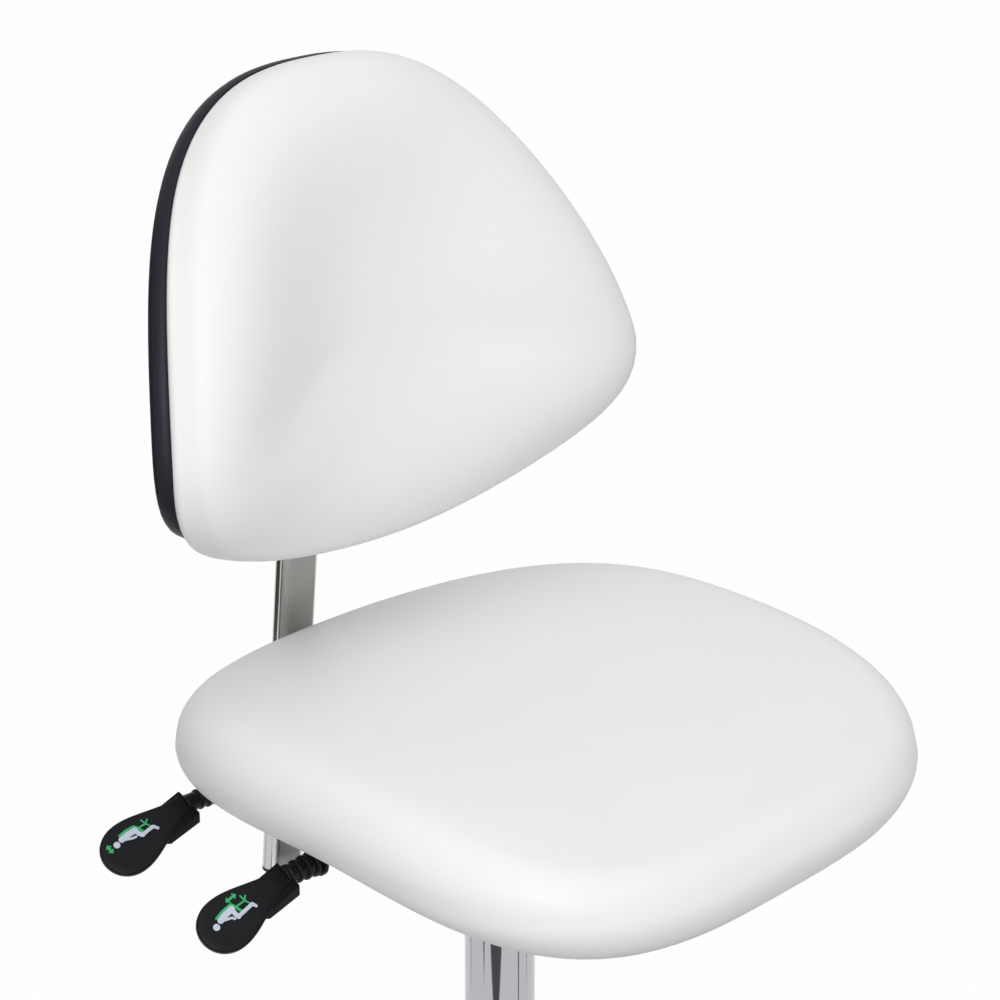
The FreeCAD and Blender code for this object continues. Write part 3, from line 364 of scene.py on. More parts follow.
def vinyl_finish():
    colour = settings("colours").vinyl
    recipe = Recipe("white_vinyl", colour, 0.5, Specular_IOR_Level=0.3)
    recipe.mottle(shade(colour, 0.97), shade(colour, 1.02), scale=7.0)
    recipe.roughen(0.42, 0.14, scale=26.0)
    grain = 0.6 * recipe.cells(1300.0) + 0.4 * recipe.noise(2100.0)
    recipe.relief(grain, 0.16, depth=0.00012)
    return recipe.material


def shell_finish():
    colour = settings("colours").shell
    recipe = Recipe("black_shell", colour, 0.45, Specular_IOR_Level=0.15)
    recipe.mottle(shade(colour, 0.85), shade(colour, 1.2), scale=9.0)
    recipe.roughen(0.38, 0.14, scale=60.0)
    recipe.relief(recipe.cells(900.0), 0.2)
    return recipe.material


def lever_finish():
    colour = settings("colours").lever
    recipe = Recipe("lever_plastic", colour, 0.4, Specular_IOR_Level=0.12)
    recipe.mottle(shade(colour, 0.8), shade(colour, 1.25), scale=40.0)
    recipe.roughen(0.34, 0.14, scale=120.0)
    recipe.relief(recipe.noise(2600.0), 0.15, depth=0.00008)
    return recipe.material


def moulded_finish():
    recipe = Recipe("black_plastic", (0.02, 0.021, 0.023), 0.48)
    recipe.mottle((0.016, 0.017, 0.019), (0.026, 0.027, 0.03), scale=30.0)
    recipe.roughen(0.42, 0.14, scale=90.0)
    recipe.relief(recipe.noise(1900.0), 0.2)
    return recipe.material


def rubber_finish():
    recipe = Recipe("black_rubber", (0.008, 0.008, 0.009), 0.4, Specular_IOR_Level=0.18)
    recipe.mottle((0.006, 0.006, 0.007), (0.012, 0.012, 0.013), scale=50.0, detail=4.0)
    recipe.roughen(0.26, 0.2, scale=150.0)
    recipe.relief(recipe.noise(1400.0, 3.0), 0.25)
    return recipe.material


def bright_chrome_finish():
    recipe = Recipe("bright_chrome", (0.47, 0.48, 0.5), 0.07, Metallic=1.0)
    recipe.mottle((0.45, 0.46, 0.48), (0.5, 0.51, 0.53), scale=5.0, detail=2.0)
    recipe.feed("Roughness", recipe.ramp(recipe.noise(35.0, 5.0), ((0.3, 0.05), (0.8, 0.11))))
    return recipe.material


def satin_chrome_finish():
    recipe = Recipe("satin_chrome", (0.55, 0.55, 0.53), 0.12, Metallic=1.0)
    brushing = recipe.noise(1.0, 3.0, 0.6, recipe.stretched((900.0, 900.0, 12.0)))
    recipe.mottle((0.52, 0.52, 0.5), (0.58, 0.58, 0.56), scale=6.0, detail=2.0)
    recipe.feed("Roughness", 0.08 + 0.08 * brushing)
    recipe.relief(brushing, 0.05, depth=0.00005)
    return recipe.material


def zinc_finish():
    recipe = Recipe("zinc_steel", (0.62, 0.63, 0.65), 0.35, Metallic=1.0)
    recipe.mottle((0.55, 0.56, 0.58), (0.68, 0.69, 0.7), scale=60.0, detail=4.0)
    recipe.roughen(0.28, 0.18, scale=180.0)
    recipe.relief(recipe.noise(700.0, 3.0), 0.1)
    return recipe.material


def powder_coat_finish():
    recipe = Recipe("black_steel", (0.02, 0.02, 0.022), 0.5)
    recipe.mottle((0.017, 0.017, 0.019), (0.027, 0.027, 0.029), scale=20.0)
    recipe.roughen(0.42, 0.16, scale=75.0)
    recipe.relief(recipe.noise(1100.0), 0.35, depth=0.00012)
    return recipe.material


def plywood_finish():
    recipe = Recipe("plywood", (0.62, 0.47, 0.3), 0.6)
    grain = recipe.noise(1.0, 5.0, 0.6, recipe.stretched((90.0, 6.0, 700.0)))
    recipe.feed("Base Color", recipe.tint(grain, (0.52, 0.37, 0.22), (0.7, 0.55, 0.36)))
    recipe.feed("Roughness", 0.52 + 0.16 * grain)
    recipe.relief(grain, 0.3, depth=0.0003)
    return recipe.material


def wheel_finish():
    recipe = Recipe("wheel_plastic", (0.03, 0.03, 0.032), 0.35)
    recipe.mottle((0.025, 0.025, 0.027), (0.045, 0.045, 0.048), scale=45.0, detail=4.0)
    recipe.roughen(0.28, 0.22, scale=110.0, detail=4.0)
    recipe.relief(recipe.noise(500.0, 3.0), 0.1)
    return recipe.material


def print_finish(name, colour):
    recipe = Recipe(name, colour, 0.5)
    recipe.mottle(shade(colour, 0.88), shade(colour, 1.1), scale=900.0)
    recipe.roughen(0.42, 0.16, scale=400.0, detail=2.0)
    return recipe.material


def grey_print_finish():
    return print_finish("grey_print", settings("colours").grey_print)


def green_print_finish():
    return print_finish("green_print", settings("colours").green_print)


finishes = {
    "white_vinyl": vinyl_finish,
    "black_shell": shell_finish,
    "plywood": plywood_finish,
    "zinc_steel": zinc_finish,
    "black_steel": powder_coat_finish,
    "black_plastic": moulded_finish,
    "lever_plastic": lever_finish,
    "black_rubber": rubber_finish,
    "satin_chrome": satin_chrome_finish,
    "bright_chrome": bright_chrome_finish,
    "wheel_plastic": wheel_finish,
    "grey_print": grey_print_finish,
    "green_print": green_print_finish,
}


def finish(slot):
    """The material of a slot, made when it is first asked for."""
    return bpy.data.materials.get(slot + "_finish") or finishes[slot]()


# Mesh helpers

merge_distance = 0.000001


def scene_object(name, data):
    item = bpy.data.objects.new(name, data)
    bpy.context.scene.collection.objects.link(item)
    return item


def mesh_object(name, points, faces, slot, smooth=True):
    mesh = bpy.data.meshes.new(name)
    mesh.from_pydata([tuple(point) for point in points], [], faces)
    mesh.validate()
    piece = scene_object(name, mesh)
    mesh.materials.append(finish(slot))
    face_outwards(piece)
    mesh.polygons.foreach_set("use_smooth", [smooth] * len(mesh.polygons))
    return piece


def face_outwards(piece):
    cleaner = bmesh.new()
    cleaner.from_mesh(piece.data)
    bmesh.ops.remove_doubles(cleaner, verts=cleaner.verts, dist=merge_distance)
    bmesh.ops.recalc_face_normals(cleaner, faces=cleaner.faces)
    cleaner.to_mesh(piece.data)
    cleaner.free()


def apply_modifiers(piece):
    depsgraph = bpy.context.evaluated_depsgraph_get()
    finished = bpy.data.meshes.new_from_object(piece.evaluated_get(depsgraph))
    piece.modifiers.clear()
    piece.data = finished
    return piece


def lofted(rings):
    """Points and faces of a closed body through rings of equal length, with a pole at each end."""
    count = len(rings[0])
    points = [point for ring in rings for point in ring]
    faces = []
    for level in range(len(rings) - 1):
        low = level * count
        for index in range(count):
            after = (index + 1) % count
            faces.append((low + index, low + after, low + count + after, low + count + index))
    for ring_start in (0, (len(rings) - 1) * count):
        pole = len(points)
        ring = points[ring_start:ring_start + count]
        points.append(sum((Vector(point) for point in ring), Vector()) / count)
        faces += [(ring_start + index, ring_start + (index + 1) % count, pole) for index in range(count)]
    return points, faces


def even_steps(points, count):
    """The closed line through the points, as count points at equal steps."""
    lengths = [0.0]
    for start, end in zip(points, points[1:] + points[:1]):
        lengths.append(lengths[-1] + (end - start).length)
    result = []
    index = 0
    for step in range(count):
        target = lengths[-1] * step / count
        while lengths[index + 1] < target:
            index += 1
        share = (target - lengths[index]) / (lengths[index + 1] - lengths[index])
        result.append(points[index].lerp(points[(index + 1) % len(points)], share))
    return result


def normals_of(line):
    """Outward unit normals of a closed flat line, whichever way round it runs."""
    area = sum(a.x * b.y - a.y * b.x for a, b in zip(line, line[1:] + line[:1]))
    side = math.copysign(1.0, area)
    result = []
    for index in range(len(line)):
        along = line[(index + 1) % len(line)] - line[index - 1]
        result.append(Vector((along.y, -along.x)).normalized() * side)
    return result


def superellipse(half_width, reaches, squareness, centre, count):
    """A closed line whose front and rear halves each have their own reach and squareness across and along."""
    fine = 3600
    points = []
    for step in range(fine):
        angle = 2 * math.pi * (step + 0.5) / fine
        sine, cosine = math.sin(angle), math.cos(angle)
        end = 0 if cosine < 0 else 1
        across, along = squareness[end]
        x = half_width * math.copysign(abs(sine) ** (2 / across), sine)
        y = reaches[end] * math.copysign(abs(cosine) ** (2 / along), cosine)
        points.append(Vector((x, centre + y)))
    return even_steps(points, count)


# Cushions

def cloth_swelling(start, held):
    """Runs the closed form as cloth under pressure and gives its points with the way that each moved."""
    scene = bpy.context.scene
    form = scene_object("cushion_cloth", start)
    remesh = form.modifiers.new("remesh", "REMESH")
    remesh.mode = "VOXEL"
    remesh.voxel_size = cloth_voxel
    apply_modifiers(form)
    places = [vert.co.copy() for vert in form.data.vertices]
    pins = form.vertex_groups.new(name="pins")
    pins.add([index for index, place in enumerate(places) if held(place) > pinned_share], 1.0, "REPLACE")
    cloth = form.modifiers.new("cloth", "CLOTH")
    cloth.settings.use_pressure = True
    cloth.settings.uniform_pressure_force = cloth_pressure
    cloth.settings.vertex_group_mass = "pins"
    cloth.settings.effector_weights.gravity = 0
    for number in range(1, cloth_frames + 1):
        scene.frame_set(number)
    swollen = bpy.data.meshes.new_from_object(form.evaluated_get(bpy.context.evaluated_depsgraph_get()))
    moves = [vert.co - place for vert, place in zip(swollen.vertices, places)]
    done = (start, form.data, swollen)
    bpy.data.objects.remove(form)
    for mesh in done:
        bpy.data.meshes.remove(mesh)
    scene.frame_set(1)
    return places, moves


def swell(piece, held):
    """Starts the cushion slightly smaller, swells it as cloth, and caps how far each point moves outwards."""
    verts = piece.data.vertices
    normals = [vert.normal.copy() for vert in verts]
    free = [1 - held(vert.co) for vert in verts]
    for vert, normal, share in zip(verts, normals, free):
        vert.co -= normal * cloth_slack * share
    places, moves = cloth_swelling(piece.data.copy(), held)
    tree = KDTree(len(places))
    for index, place in enumerate(places):
        tree.insert(place, index)
    tree.balance()
    swellings = []
    for vert, normal in zip(verts, normals):
        near = tree.find_n(vert.co, cloth_neighbours)
        out = sum(moves[index].dot(normal) for _, index, _ in near) / len(near)
        swellings.append(min(cloth_cap, max(0.0, out)))
    swellings = calmed(swellings, piece.data, cloth_calming)
    for vert, normal, share, out in zip(verts, normals, free, swellings):
        vert.co += normal * out * share


def calmed(values, mesh, rounds):
    """One value for each point, after repeated averaging with the points that share an edge with it."""
    edges = [tuple(edge.vertices) for edge in mesh.edges]
    counts = [1] * len(values)
    for first, second in edges:
        counts[first] += 1
        counts[second] += 1
    for _ in range(rounds):
        totals = list(values)
        for first, second in edges:
            totals[first] += values[second]
            totals[second] += values[first]
        values = [total / count for total, count in zip(totals, counts)]
    return values


def seat_rim(x, y, sizes):
    """The height of the line round which the seat's edge is rounded, carried on over the whole seat."""
    away = (y - seat_centre_y) / saddle_span
    return seat_rim_height - sizes.saddle * away ** 2 + sizes.side_rise * (x / saddle_span) ** 2


def seat_rings():
    """Rings of the top from its middle to the rim and then round the rounded edge."""
    sizes = settings("seat")
    half_width = sizes.half_width - sizes.roll
    line = superellipse(half_width, seat_line_reaches, seat_line_squareness, seat_centre_y, seat_line_points)
    normals = normals_of(line)
    rings = []
    centre = Vector((0.0, seat_centre_y))
    for step in range(1, seat_top_rings + 1):
        share = (step / seat_top_rings) ** seat_ring_power
        ring = []
        for point in line:
            flat = centre.lerp(point, share)
            height = sizes.roll - sizes.dish * (1 - share ** 2) ** 2
            ring.append(Vector((flat.x, flat.y, seat_rim(flat.x, flat.y, sizes) + height)))
        rings.append(ring)
    for step in range(1, edge_rings + 1):
        turn = math.pi * (0.5 - step / edge_rings)
        ring = []
        for point, normal in zip(line, normals):
            flat = point + normal * sizes.roll * math.cos(turn)
            height = sizes.roll * math.sin(turn)
            ring.append(Vector((flat.x, flat.y, seat_rim(point.x, point.y, sizes) + height)))
        rings.append(ring)
    return rings, line


def seat_cushion_piece():
    """A saddle-shaped pad with a rounded edge and a flat underside that rests on the seat board."""
    rings, line = seat_rings()
    board_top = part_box("seat_board")[1].z + skin
    centre = Vector((0.0, seat_centre_y))
    lip = []
    for low, point in zip(rings[-1], line):
        flat = centre.lerp(point, seat_lip_share)
        lip.append(Vector((flat.x, flat.y, low.z)))
    inner = []
    for point in lip:
        away = (point.y - seat_centre_y) * seat_inner_share
        inner.append(Vector((point.x * seat_inner_share, seat_centre_y + away, board_top)))
    rings.append(lip)
    rings.append([Vector((point.x, point.y, board_top)) for point in lip])
    rings.append(inner)
    points, faces = lofted(rings)
    piece = mesh_object("seat_cover", points, faces, "white_vinyl")
    swell(piece, lambda place: 1 - min(1.0, max(0.0, (place.z - board_top) / held_depth)))
    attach(piece, "seat")
    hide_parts("seat_cushion")
    return piece


def back_frame():
    """The backrest's own frame: X across, Y up it and Z forwards."""
    turn = Matrix.Rotation(math.pi / 2 - back_recline, 4, "X")
    return Matrix.Translation(Vector(back_centre)) @ turn


def sheet(x, v):
    """How far the curved middle sheet of the backrest stands forward at a place across and up it."""
    sizes = settings("back")
    flare = 1 + sizes.flare * (v - back_widest) / flare_span
    return back_sheet_forward + (sizes.wrap * x ** 2 + sizes.wing_wrap * x ** 4) * flare


def sheet_normal(x, v):
    step = 0.0005
    slope_x = (sheet(x + step, v) - sheet(x - step, v)) / (2 * step)
    slope_v = (sheet(x, v + step) - sheet(x, v - step)) / (2 * step)
    return Vector((-slope_x, -slope_v, 1.0)).normalized()


def on_sheet(x, v, height):
    return Vector((x, v, sheet(x, v))) + sheet_normal(x, v) * height


def off_edge(point, normal, out, height):
    """A place out from the line of the backrest's edge, square to the curved sheet."""
    upwards = sheet_normal(point.x, point.y)
    flat = Vector((normal.x, normal.y, 0.0))
    outwards = (flat - upwards * flat.dot(upwards)).normalized()
    return Vector((point.x, point.y, sheet(point.x, point.y))) + outwards * out + upwards * height


def lean_of(point, normal):
    """The angle by which the sheet rises towards the edge."""
    upwards = sheet_normal(point.x, point.y)
    return math.atan2(-(upwards.x * normal.x + upwards.y * normal.y), upwards.z)


def back_line():
    """The line round which the edge of the back is rounded."""
    sizes = settings("back")
    half_width = sizes.half_width - sizes.roll
    return superellipse(half_width, back_line_reaches, back_line_squareness, back_widest, back_line_points)


def sheet_ring(line, share, height):
    """The line drawn in to a share of its reach and laid at one height over the sheet."""
    centre = Vector((0.0, back_middle))
    return [on_sheet(*centre.lerp(point, share), height) for point in line]


def back_object(name, rings, slot):
    """The body through the rings, carried from the backrest's own frame to its place."""
    points, faces = lofted(rings)
    place = back_frame()
    return mesh_object(name, [place @ point for point in points], faces, slot)


def back_rim_point(point, normal, turn):
    """The rounded edge: a circle in front and a squarer, shallower quarter behind."""
    sizes = settings("back")
    if turn >= 0:
        return off_edge(point, normal, sizes.roll * math.cos(turn), sizes.roll * math.sin(turn))
    power = 2 / rear_squareness
    out = sizes.roll * abs(math.cos(turn)) ** power
    return off_edge(point, normal, out, -sizes.rear * abs(math.sin(turn)) ** power)


def evened(values, rounds):
    """The values round a closed line after repeated averaging with their neighbours."""
    for _ in range(rounds):
        befores = values[-1:] + values[:-1]
        afters = values[1:] + values[:1]
        values = [(before + value + after) / 3 for before, value, after in zip(befores, values, afters)]
    return values


def back_front_rings(line, normals, joins):
    """Rings of the front: a hollow middle that rises to a soft crest and falls to the rounded edge."""
    sizes = settings("back")
    middle = Vector((0.0, back_middle, back_sheet_forward + sizes.middle))
    rim = [back_rim_point(point, normal, join) for point, normal, join in zip(line, normals, joins)]
    rises, falls = [], []
    for point, normal in zip(rim, normals):
        away = Vector((point.x - middle.x, point.y - middle.y))
        slope = -math.tan(sizes.shoulder) * away.dot(normal)
        height = point.z - middle.z
        fall = (slope - sizes.fullness * height) / (sizes.crest - sizes.fullness)
        falls.append(fall)
        rises.append(height - fall)
    even_rises, even_falls = evened(rises, front_evening), evened(falls, front_evening)
    rings = []
    for step in range(1, back_front_steps):
        share = (step / back_front_steps) ** back_ring_power
        keep = share ** edge_keeping
        ring = []
        for index, point in enumerate(rim):
            rise = even_rises[index] + (rises[index] - even_rises[index]) * keep
            fall = even_falls[index] + (falls[index] - even_falls[index]) * keep
            flat = middle.lerp(point, share)
            height = rise * share ** sizes.fullness + fall * share ** sizes.crest
            ring.append(Vector((flat.x, flat.y, middle.z + height)))
        rings.append(ring)
    return rings


def back_hold(place):
    """One at the flat rear of the back cushion and zero a little before it."""
    height = place.z - sheet(place.x, place.y) + settings("back").rear
    return 1 - min(1.0, max(0.0, height / held_depth))


def back_cushion_piece():
    """A padded wrap: thick rounded wings, a hollow middle and a roll at the top and the bottom."""
    sizes = settings("back")
    line = back_line()
    normals = normals_of(line)
    joins = [math.pi / 2 - lean_of(point, normal) - sizes.shoulder for point, normal in zip(line, normals)]
    rings = back_front_rings(line, normals, joins)
    for step in range(edge_rings + 1):
        ring = []
        for point, normal, join in zip(line, normals, joins):
            turn = join + (-math.pi / 2 - join) * step / edge_rings
            ring.append(back_rim_point(point, normal, turn))
        rings.append(ring)
    rings += [sheet_ring(line, share, -sizes.rear) for share in back_rear_shares]
    piece = back_object("back_cover", rings, "white_vinyl")
    to_frame = back_frame().inverted()
    swell(piece, lambda place: back_hold(to_frame @ place))
    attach(piece, "backrest")
    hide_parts("back_cushion")
    return piece


def back_board_piece():
    """The plywood board between the cushion and the shell, bent as they are."""
    line = back_line()
    front = -settings("back").rear - skin
    rear = front - board_thickness
    middle_share, flat_share, edge_share = board_shares
    rings = []
    for share, height in ((middle_share, front), (flat_share, front), (edge_share, front - board_corner),
                          (edge_share, rear + board_corner), (flat_share, rear), (middle_share, rear)):
        rings.append(sheet_ring(line, share, height))
    piece = back_object("back_board_cover", rings, "plywood")
    piece.data.set_sharp_from_angle(angle=sharp_angle)
    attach(piece, "backrest")
    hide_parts("back_board")
    return piece


def shell_ring(line, normals, tucks, out, height, rise):
    """A ring along the shell's edge, drawn in and forward where the shell is tucked under the cushion."""
    return [off_edge(point, normal, out - tuck_depth * tuck, height + rise * tuck)
            for point, normal, tuck in zip(line, normals, tucks)]


def back_shell_piece():
    """A dished shell behind the back cushion with a soft outer corner and a fine lip."""
    sizes = settings("back")
    line = back_line()
    normals = normals_of(line)
    edge = sizes.roll - shell_inset
    front = -sizes.rear - skin
    lowest = back_widest - back_line_reaches[0]
    nearness = [min(1.0, max(0.0, 1 - (point.y - lowest) / tuck_reach)) for point in line]
    tucks = evened([1 - (1 - near) ** 2 for near in nearness], tuck_evening)
    rings = [sheet_ring(line, share, shell_inside) for share in shell_inside_shares]
    for shares, start, rise in ((shell_foot_shares, front, 0.0), (shell_lip_shares, front, tuck_rise),
                                (shell_corner_shares, shell_side_back, tuck_rise)):
        for inward, forward in shares:
            out = edge - inward * shell_lip
            rings.append(shell_ring(line, normals, tucks, out, start + forward * shell_lip, rise))
    rings += [sheet_ring(line, share, shell_back) for share in shell_back_shares]
    piece = back_object("back_shell_cover", rings, "black_shell")
    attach(piece, "backrest")
    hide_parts("back_shell")
    return piece


# Levers. The shares of the paddle's face are of its outline and its hollow, and those of its rim and rear
# are of the rounding, inwards and down from the face or up from the rear.

neck_share = 0.344
widest_share = 0.704
tip_power = 2.2
paddle_line_points = 120
paddle_middle_share = 0.6
paddle_inner_share = 0.5
paddle_hollow = 0.0005
paddle_round = 0.001
paddle_face_shares = ((0.25, 1.0), (0.5, 0.8), (0.75, 0.4))
paddle_rim_shares = ((1.4, 0.0), (0.7, 0.2), (0.2, 0.7), (0.0, 1.4))
paddle_rear_shares = ((0.0, 1.0), (0.4, 0.3), (1.0, 0.0))


def paddle_frame(lever):
    """A paddle's own frame: X from the neck to the tip, Y across it and Z out of its face."""
    neck_x, y = rod_ends[lever]
    turn = Matrix.Rotation(math.pi, 4, "Z") @ Matrix.Rotation(paddle_pitch, 4, "Y")
    turn = turn @ Matrix.Rotation(-paddle_roll, 4, "X")
    place = Matrix.Translation(Vector((neck_x, y, rod_height)))
    return place @ turn @ Matrix.Translation(Vector((0.0, 0.0, paddle_above_rod)))


def paddle_width(along, sizes):
    """Half the plate's width: it swells from the neck to the widest place and ends in a round tip."""
    share = along / sizes.length
    if share < widest_share:
        grown = share / widest_share
        return sizes.half_width * (neck_share + (1 - neck_share) * grown * grown * (3 - 2 * grown))
    past = min(1.0, (share - widest_share) / (1 - widest_share))
    return sizes.half_width * math.sqrt(max(0.0, 1 - past ** tip_power))


def paddle_outline(sizes):
    fine = 240
    side = []
    for step in range(fine + 1):
        share = 1 - (1 - step / fine) ** 2
        along = sizes.length * share
        side.append(Vector((along, paddle_width(along, sizes))))
    mirrored = [Vector((point.x, -point.y)) for point in reversed(side[:-1])]
    return even_steps(side + mirrored, paddle_line_points)


def paddle_mesh(sizes):
    """The plate: a slightly hollow face, a rounded rim and a flat rear."""
    line = paddle_outline(sizes)
    normals = normals_of(line)
    middle = Vector((sizes.length * paddle_middle_share, 0.0))
    depth = sizes.thickness
    rings = []
    for share, sunk in paddle_face_shares:
        rings.append([Vector((*middle.lerp(point, share), -sunk * paddle_hollow)) for point in line])
    rim = [(inward, -down * paddle_round) for inward, down in paddle_rim_shares]
    rim += [(inward, up * paddle_round - depth) for inward, up in paddle_rear_shares]
    for inward, height in rim:
        inset = inward * paddle_round
        rings.append([Vector((*(point - normal * inset), height)) for point, normal in zip(line, normals)])
    rings.append([Vector((*middle.lerp(point, paddle_inner_share), -depth)) for point in line])
    return lofted(rings)


def sliced(work, place, normal):
    """Cuts away what lies beyond a plane and closes the cut."""
    geometry = work.verts[:] + work.edges[:] + work.faces[:]
    cut = bmesh.ops.bisect_plane(work, geom=geometry, plane_co=place, plane_no=normal, clear_outer=True)
    edges = [item for item in cut["geom_cut"] if isinstance(item, bmesh.types.BMEdge)]
    bmesh.ops.contextual_create(work, geom=edges)


def add_solid(work, points, faces):
    verts = [work.verts.new(point) for point in points]
    for face in faces:
        work.faces.new([verts[index] for index in face])


def paddle_neck(work, lever, sizes):
    """The block round the rod under the plate's root, with its edges rounded."""
    neck_x, y = rod_ends[lever]
    low = rod_height - neck_below_rod
    high = rod_height + neck_above_rod
    far = neck_x - neck_length
    rib_end = neck_x - neck_rib_length
    rib_low = low - neck_rib_length * math.tan(paddle_pitch)
    points = []
    for side, end in ((y - neck_front, neck_x + neck_skew), (y + neck_rear, neck_x)):
        profile = [(end, low), (rib_end, rib_low), (far, low), (far, high), (end, high)]
        points += [(x, side, z) for x, z in profile]
    count = len(profile)
    faces = [tuple(range(count)), tuple(reversed(range(count, 2 * count)))]
    for index in range(count):
        after = (index + 1) % count
        faces.append((after, index, count + index, count + after))
    add_solid(work, points, faces)
    place = paddle_frame(lever)
    sliced(work, place @ Vector((0.0, 0.0, -sizes.thickness / 2)), place.to_3x3() @ Vector((0.0, 0.0, 1.0)))
    bmesh.ops.recalc_face_normals(work, faces=work.faces)
    bmesh.ops.bevel(work, geom=work.edges[:], offset=neck_bevel, segments=3, profile=0.5, affect="EDGES",
                    clamp_overlap=True)


def mesh_lists(work, offset=0):
    """Points and faces of a working mesh, which is freed."""
    work.verts.index_update()
    points = [vert.co.copy() for vert in work.verts]
    faces = [tuple(vert.index + offset for vert in face.verts) for face in work.faces]
    work.free()
    return points, faces


def paddle_piece(lever):
    """The plate with the block under its root, both cut off square where the rod goes in."""
    sizes = settings("lever")
    place = paddle_frame(lever)
    plate_points, plate_faces = paddle_mesh(sizes)
    plate = bmesh.new()
    add_solid(plate, [place @ point for point in plate_points], plate_faces)
    sliced(plate, Vector((rod_ends[lever][0], 0.0, 0.0)), Vector((1.0, 0.0, 0.0)))
    points, faces = mesh_lists(plate)
    neck = bmesh.new()
    paddle_neck(neck, lever, sizes)
    neck_points, neck_faces = mesh_lists(neck, len(points))
    piece = mesh_object(lever + "_paddle", points + neck_points, faces + neck_faces, "lever_plastic")
    piece.data.set_sharp_from_angle(angle=sharp_angle)
    body = lever + "_lever"
    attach(piece, body)
    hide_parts(body + "_paddle")
    return piece


# Pictograms: lines and widths of strokes on the paddle's face, in print units along and across it

print_unit = 0.001
print_base = -0.0008
print_rise = 0.0010
print_layer = 0.00003
stroke_end_steps = 8
sitter_strokes = {
    "lift": [(((53.2, -3.8), (48.0, -4.6), (42.6, -4.9)), 4.2),
             (((42.6, -4.4), (43.0, -1.0), (42.6, 1.6)), 3.2),
             (((42.6, 1.6), (36.0, 1.4), (30.2, 1.2)), 2.5),
             (((30.0, 1.0), (29.2, 3.8)), 2.0),
             (((51.8, -2.6), (46.6, -0.6), (45.4, 1.2)), 1.6)],
    "lock": [(((51.4, -7.2), (45.6, -7.2), (40.2, -6.4)), 4.2),
             (((40.0, -6.0), (39.6, -3.0), (38.2, -0.8)), 3.2),
             (((38.2, -0.8), (33.4, -0.9), (29.0, -0.7)), 2.5),
             (((28.8, -0.8), (27.2, 2.2)), 2.0),
             (((50.0, -6.0), (45.4, -3.4), (42.6, -2.6)), 1.6)],
}
sitter_heads = {"lift": (58.2, -2.2), "lock": (56.4, -6.4)}
sitter_head_radius = 2.3
chair_strokes = {
    "lift": [(((54.4, -6.6), (47.6, -7.6), (41.2, -7.6)), 1.5),
             (((40.8, -7.2), (39.4, -3.0), (38.6, 0.2)), 1.7),
             (((39.4, -4.2), (32.4, -3.6)), 1.1),
             (((32.4, -7.8), (32.2, -3.6), (30.8, 0.2)), 1.0),
             (((32.4, -3.6), (29.6, -5.8)), 1.0)],
    "lock": [(((50.8, -10.2), (44.6, -10.2), (39.2, -9.2)), 1.5),
             (((38.8, -8.8), (37.2, -5.4), (36.4, -2.4)), 1.7),
             (((37.2, -6.4), (31.4, -5.4)), 1.1),
             (((32.2, -9.2), (31.4, -5.4), (29.8, -1.8)), 1.0),
             (((31.4, -5.4), (28.6, -7.2)), 1.0)],
}
arrow_lines = {"lift": ((42.6, -10.6), (33.6, -10.4)), "lock": ((61.8, -10.6), (62.2, -3.6))}
arrow_size = 2.6
arrow_width_share = 0.9
arrow_inset = 2.0
arrow_stroke = 1.6


def stroke_mesh(line, width, points, faces, rise):
    """Adds a raised stroke with round ends along a line of the paddle's face."""
    radius = width / 2 * print_unit
    path = [Vector(point) * print_unit for point in line]
    outline = []
    for ordered in (path, list(reversed(path))):
        for index, point in enumerate(ordered[:-1]):
            along = (ordered[index + 1] - point).normalized()
            before = (point - ordered[index - 1]).normalized() if index else along
            side = Vector((-(along + before).y, (along + before).x)).normalized()
            outline.append(point + side * radius)
        along = (ordered[-1] - ordered[-2]).normalized()
        side = Vector((-along.y, along.x))
        for step in range(stroke_end_steps + 1):
            turn = math.pi * step / stroke_end_steps
            outline.append(ordered[-1] + side * radius * math.cos(turn) + along * radius * math.sin(turn))
    add_raised(outline, points, faces, rise)


def add_raised(outline, points, faces, rise):
    """Adds a flat body that starts just below the paddle's face and ends a little above it."""
    start = len(points)
    count = len(outline)
    points += [Vector((*point, print_base)) for point in outline]
    points += [Vector((*point, print_base + rise)) for point in outline]
    faces.append(tuple(start + index for index in reversed(range(count))))
    faces.append(tuple(start + count + index for index in range(count)))
    for index in range(count):
        after = (index + 1) % count
        faces.append((start + index, start + after, start + count + after, start + count + index))


def disc_outline(centre, radius, count=20):
    turns = [2 * math.pi * step / count for step in range(count)]
    ring = [Vector((math.cos(turn), math.sin(turn))) for turn in turns]
    return [(Vector(centre) + way * radius) * print_unit for way in ring]


def arrow_head(tip, direction):
    side = Vector((-direction.y, direction.x)) * arrow_size * arrow_width_share
    back = tip - direction * arrow_size
    return [point * print_unit for point in (tip, back + side, back - side)]


def sitter_mesh(lever):
    """The sitter, each stroke one layer higher than the one before."""
    points, faces = [], []
    for level, (line, width) in enumerate(sitter_strokes[lever]):
        stroke_mesh(line, width, points, faces, print_rise + print_layer * level)
    add_raised(disc_outline(sitter_heads[lever], sitter_head_radius), points, faces, print_rise)
    return points, faces


def chair_mesh(lever):
    """The chair below the sitter, each stroke one layer lower, and the arrow with a head at each end."""
    points, faces = [], []
    for level, (line, width) in enumerate(chair_strokes[lever]):
        stroke_mesh(line, width, points, faces, print_rise - print_layer * (level + 1))
    start, end = (Vector(point) for point in arrow_lines[lever])
    along = (end - start).normalized()
    inset = along * arrow_inset
    stroke_mesh([start + inset, end - inset], arrow_stroke, points, faces, print_rise)
    for tip, direction in ((start, -along), (end, along)):
        add_raised(arrow_head(tip, direction), points, faces, print_rise + print_layer)
    return points, faces


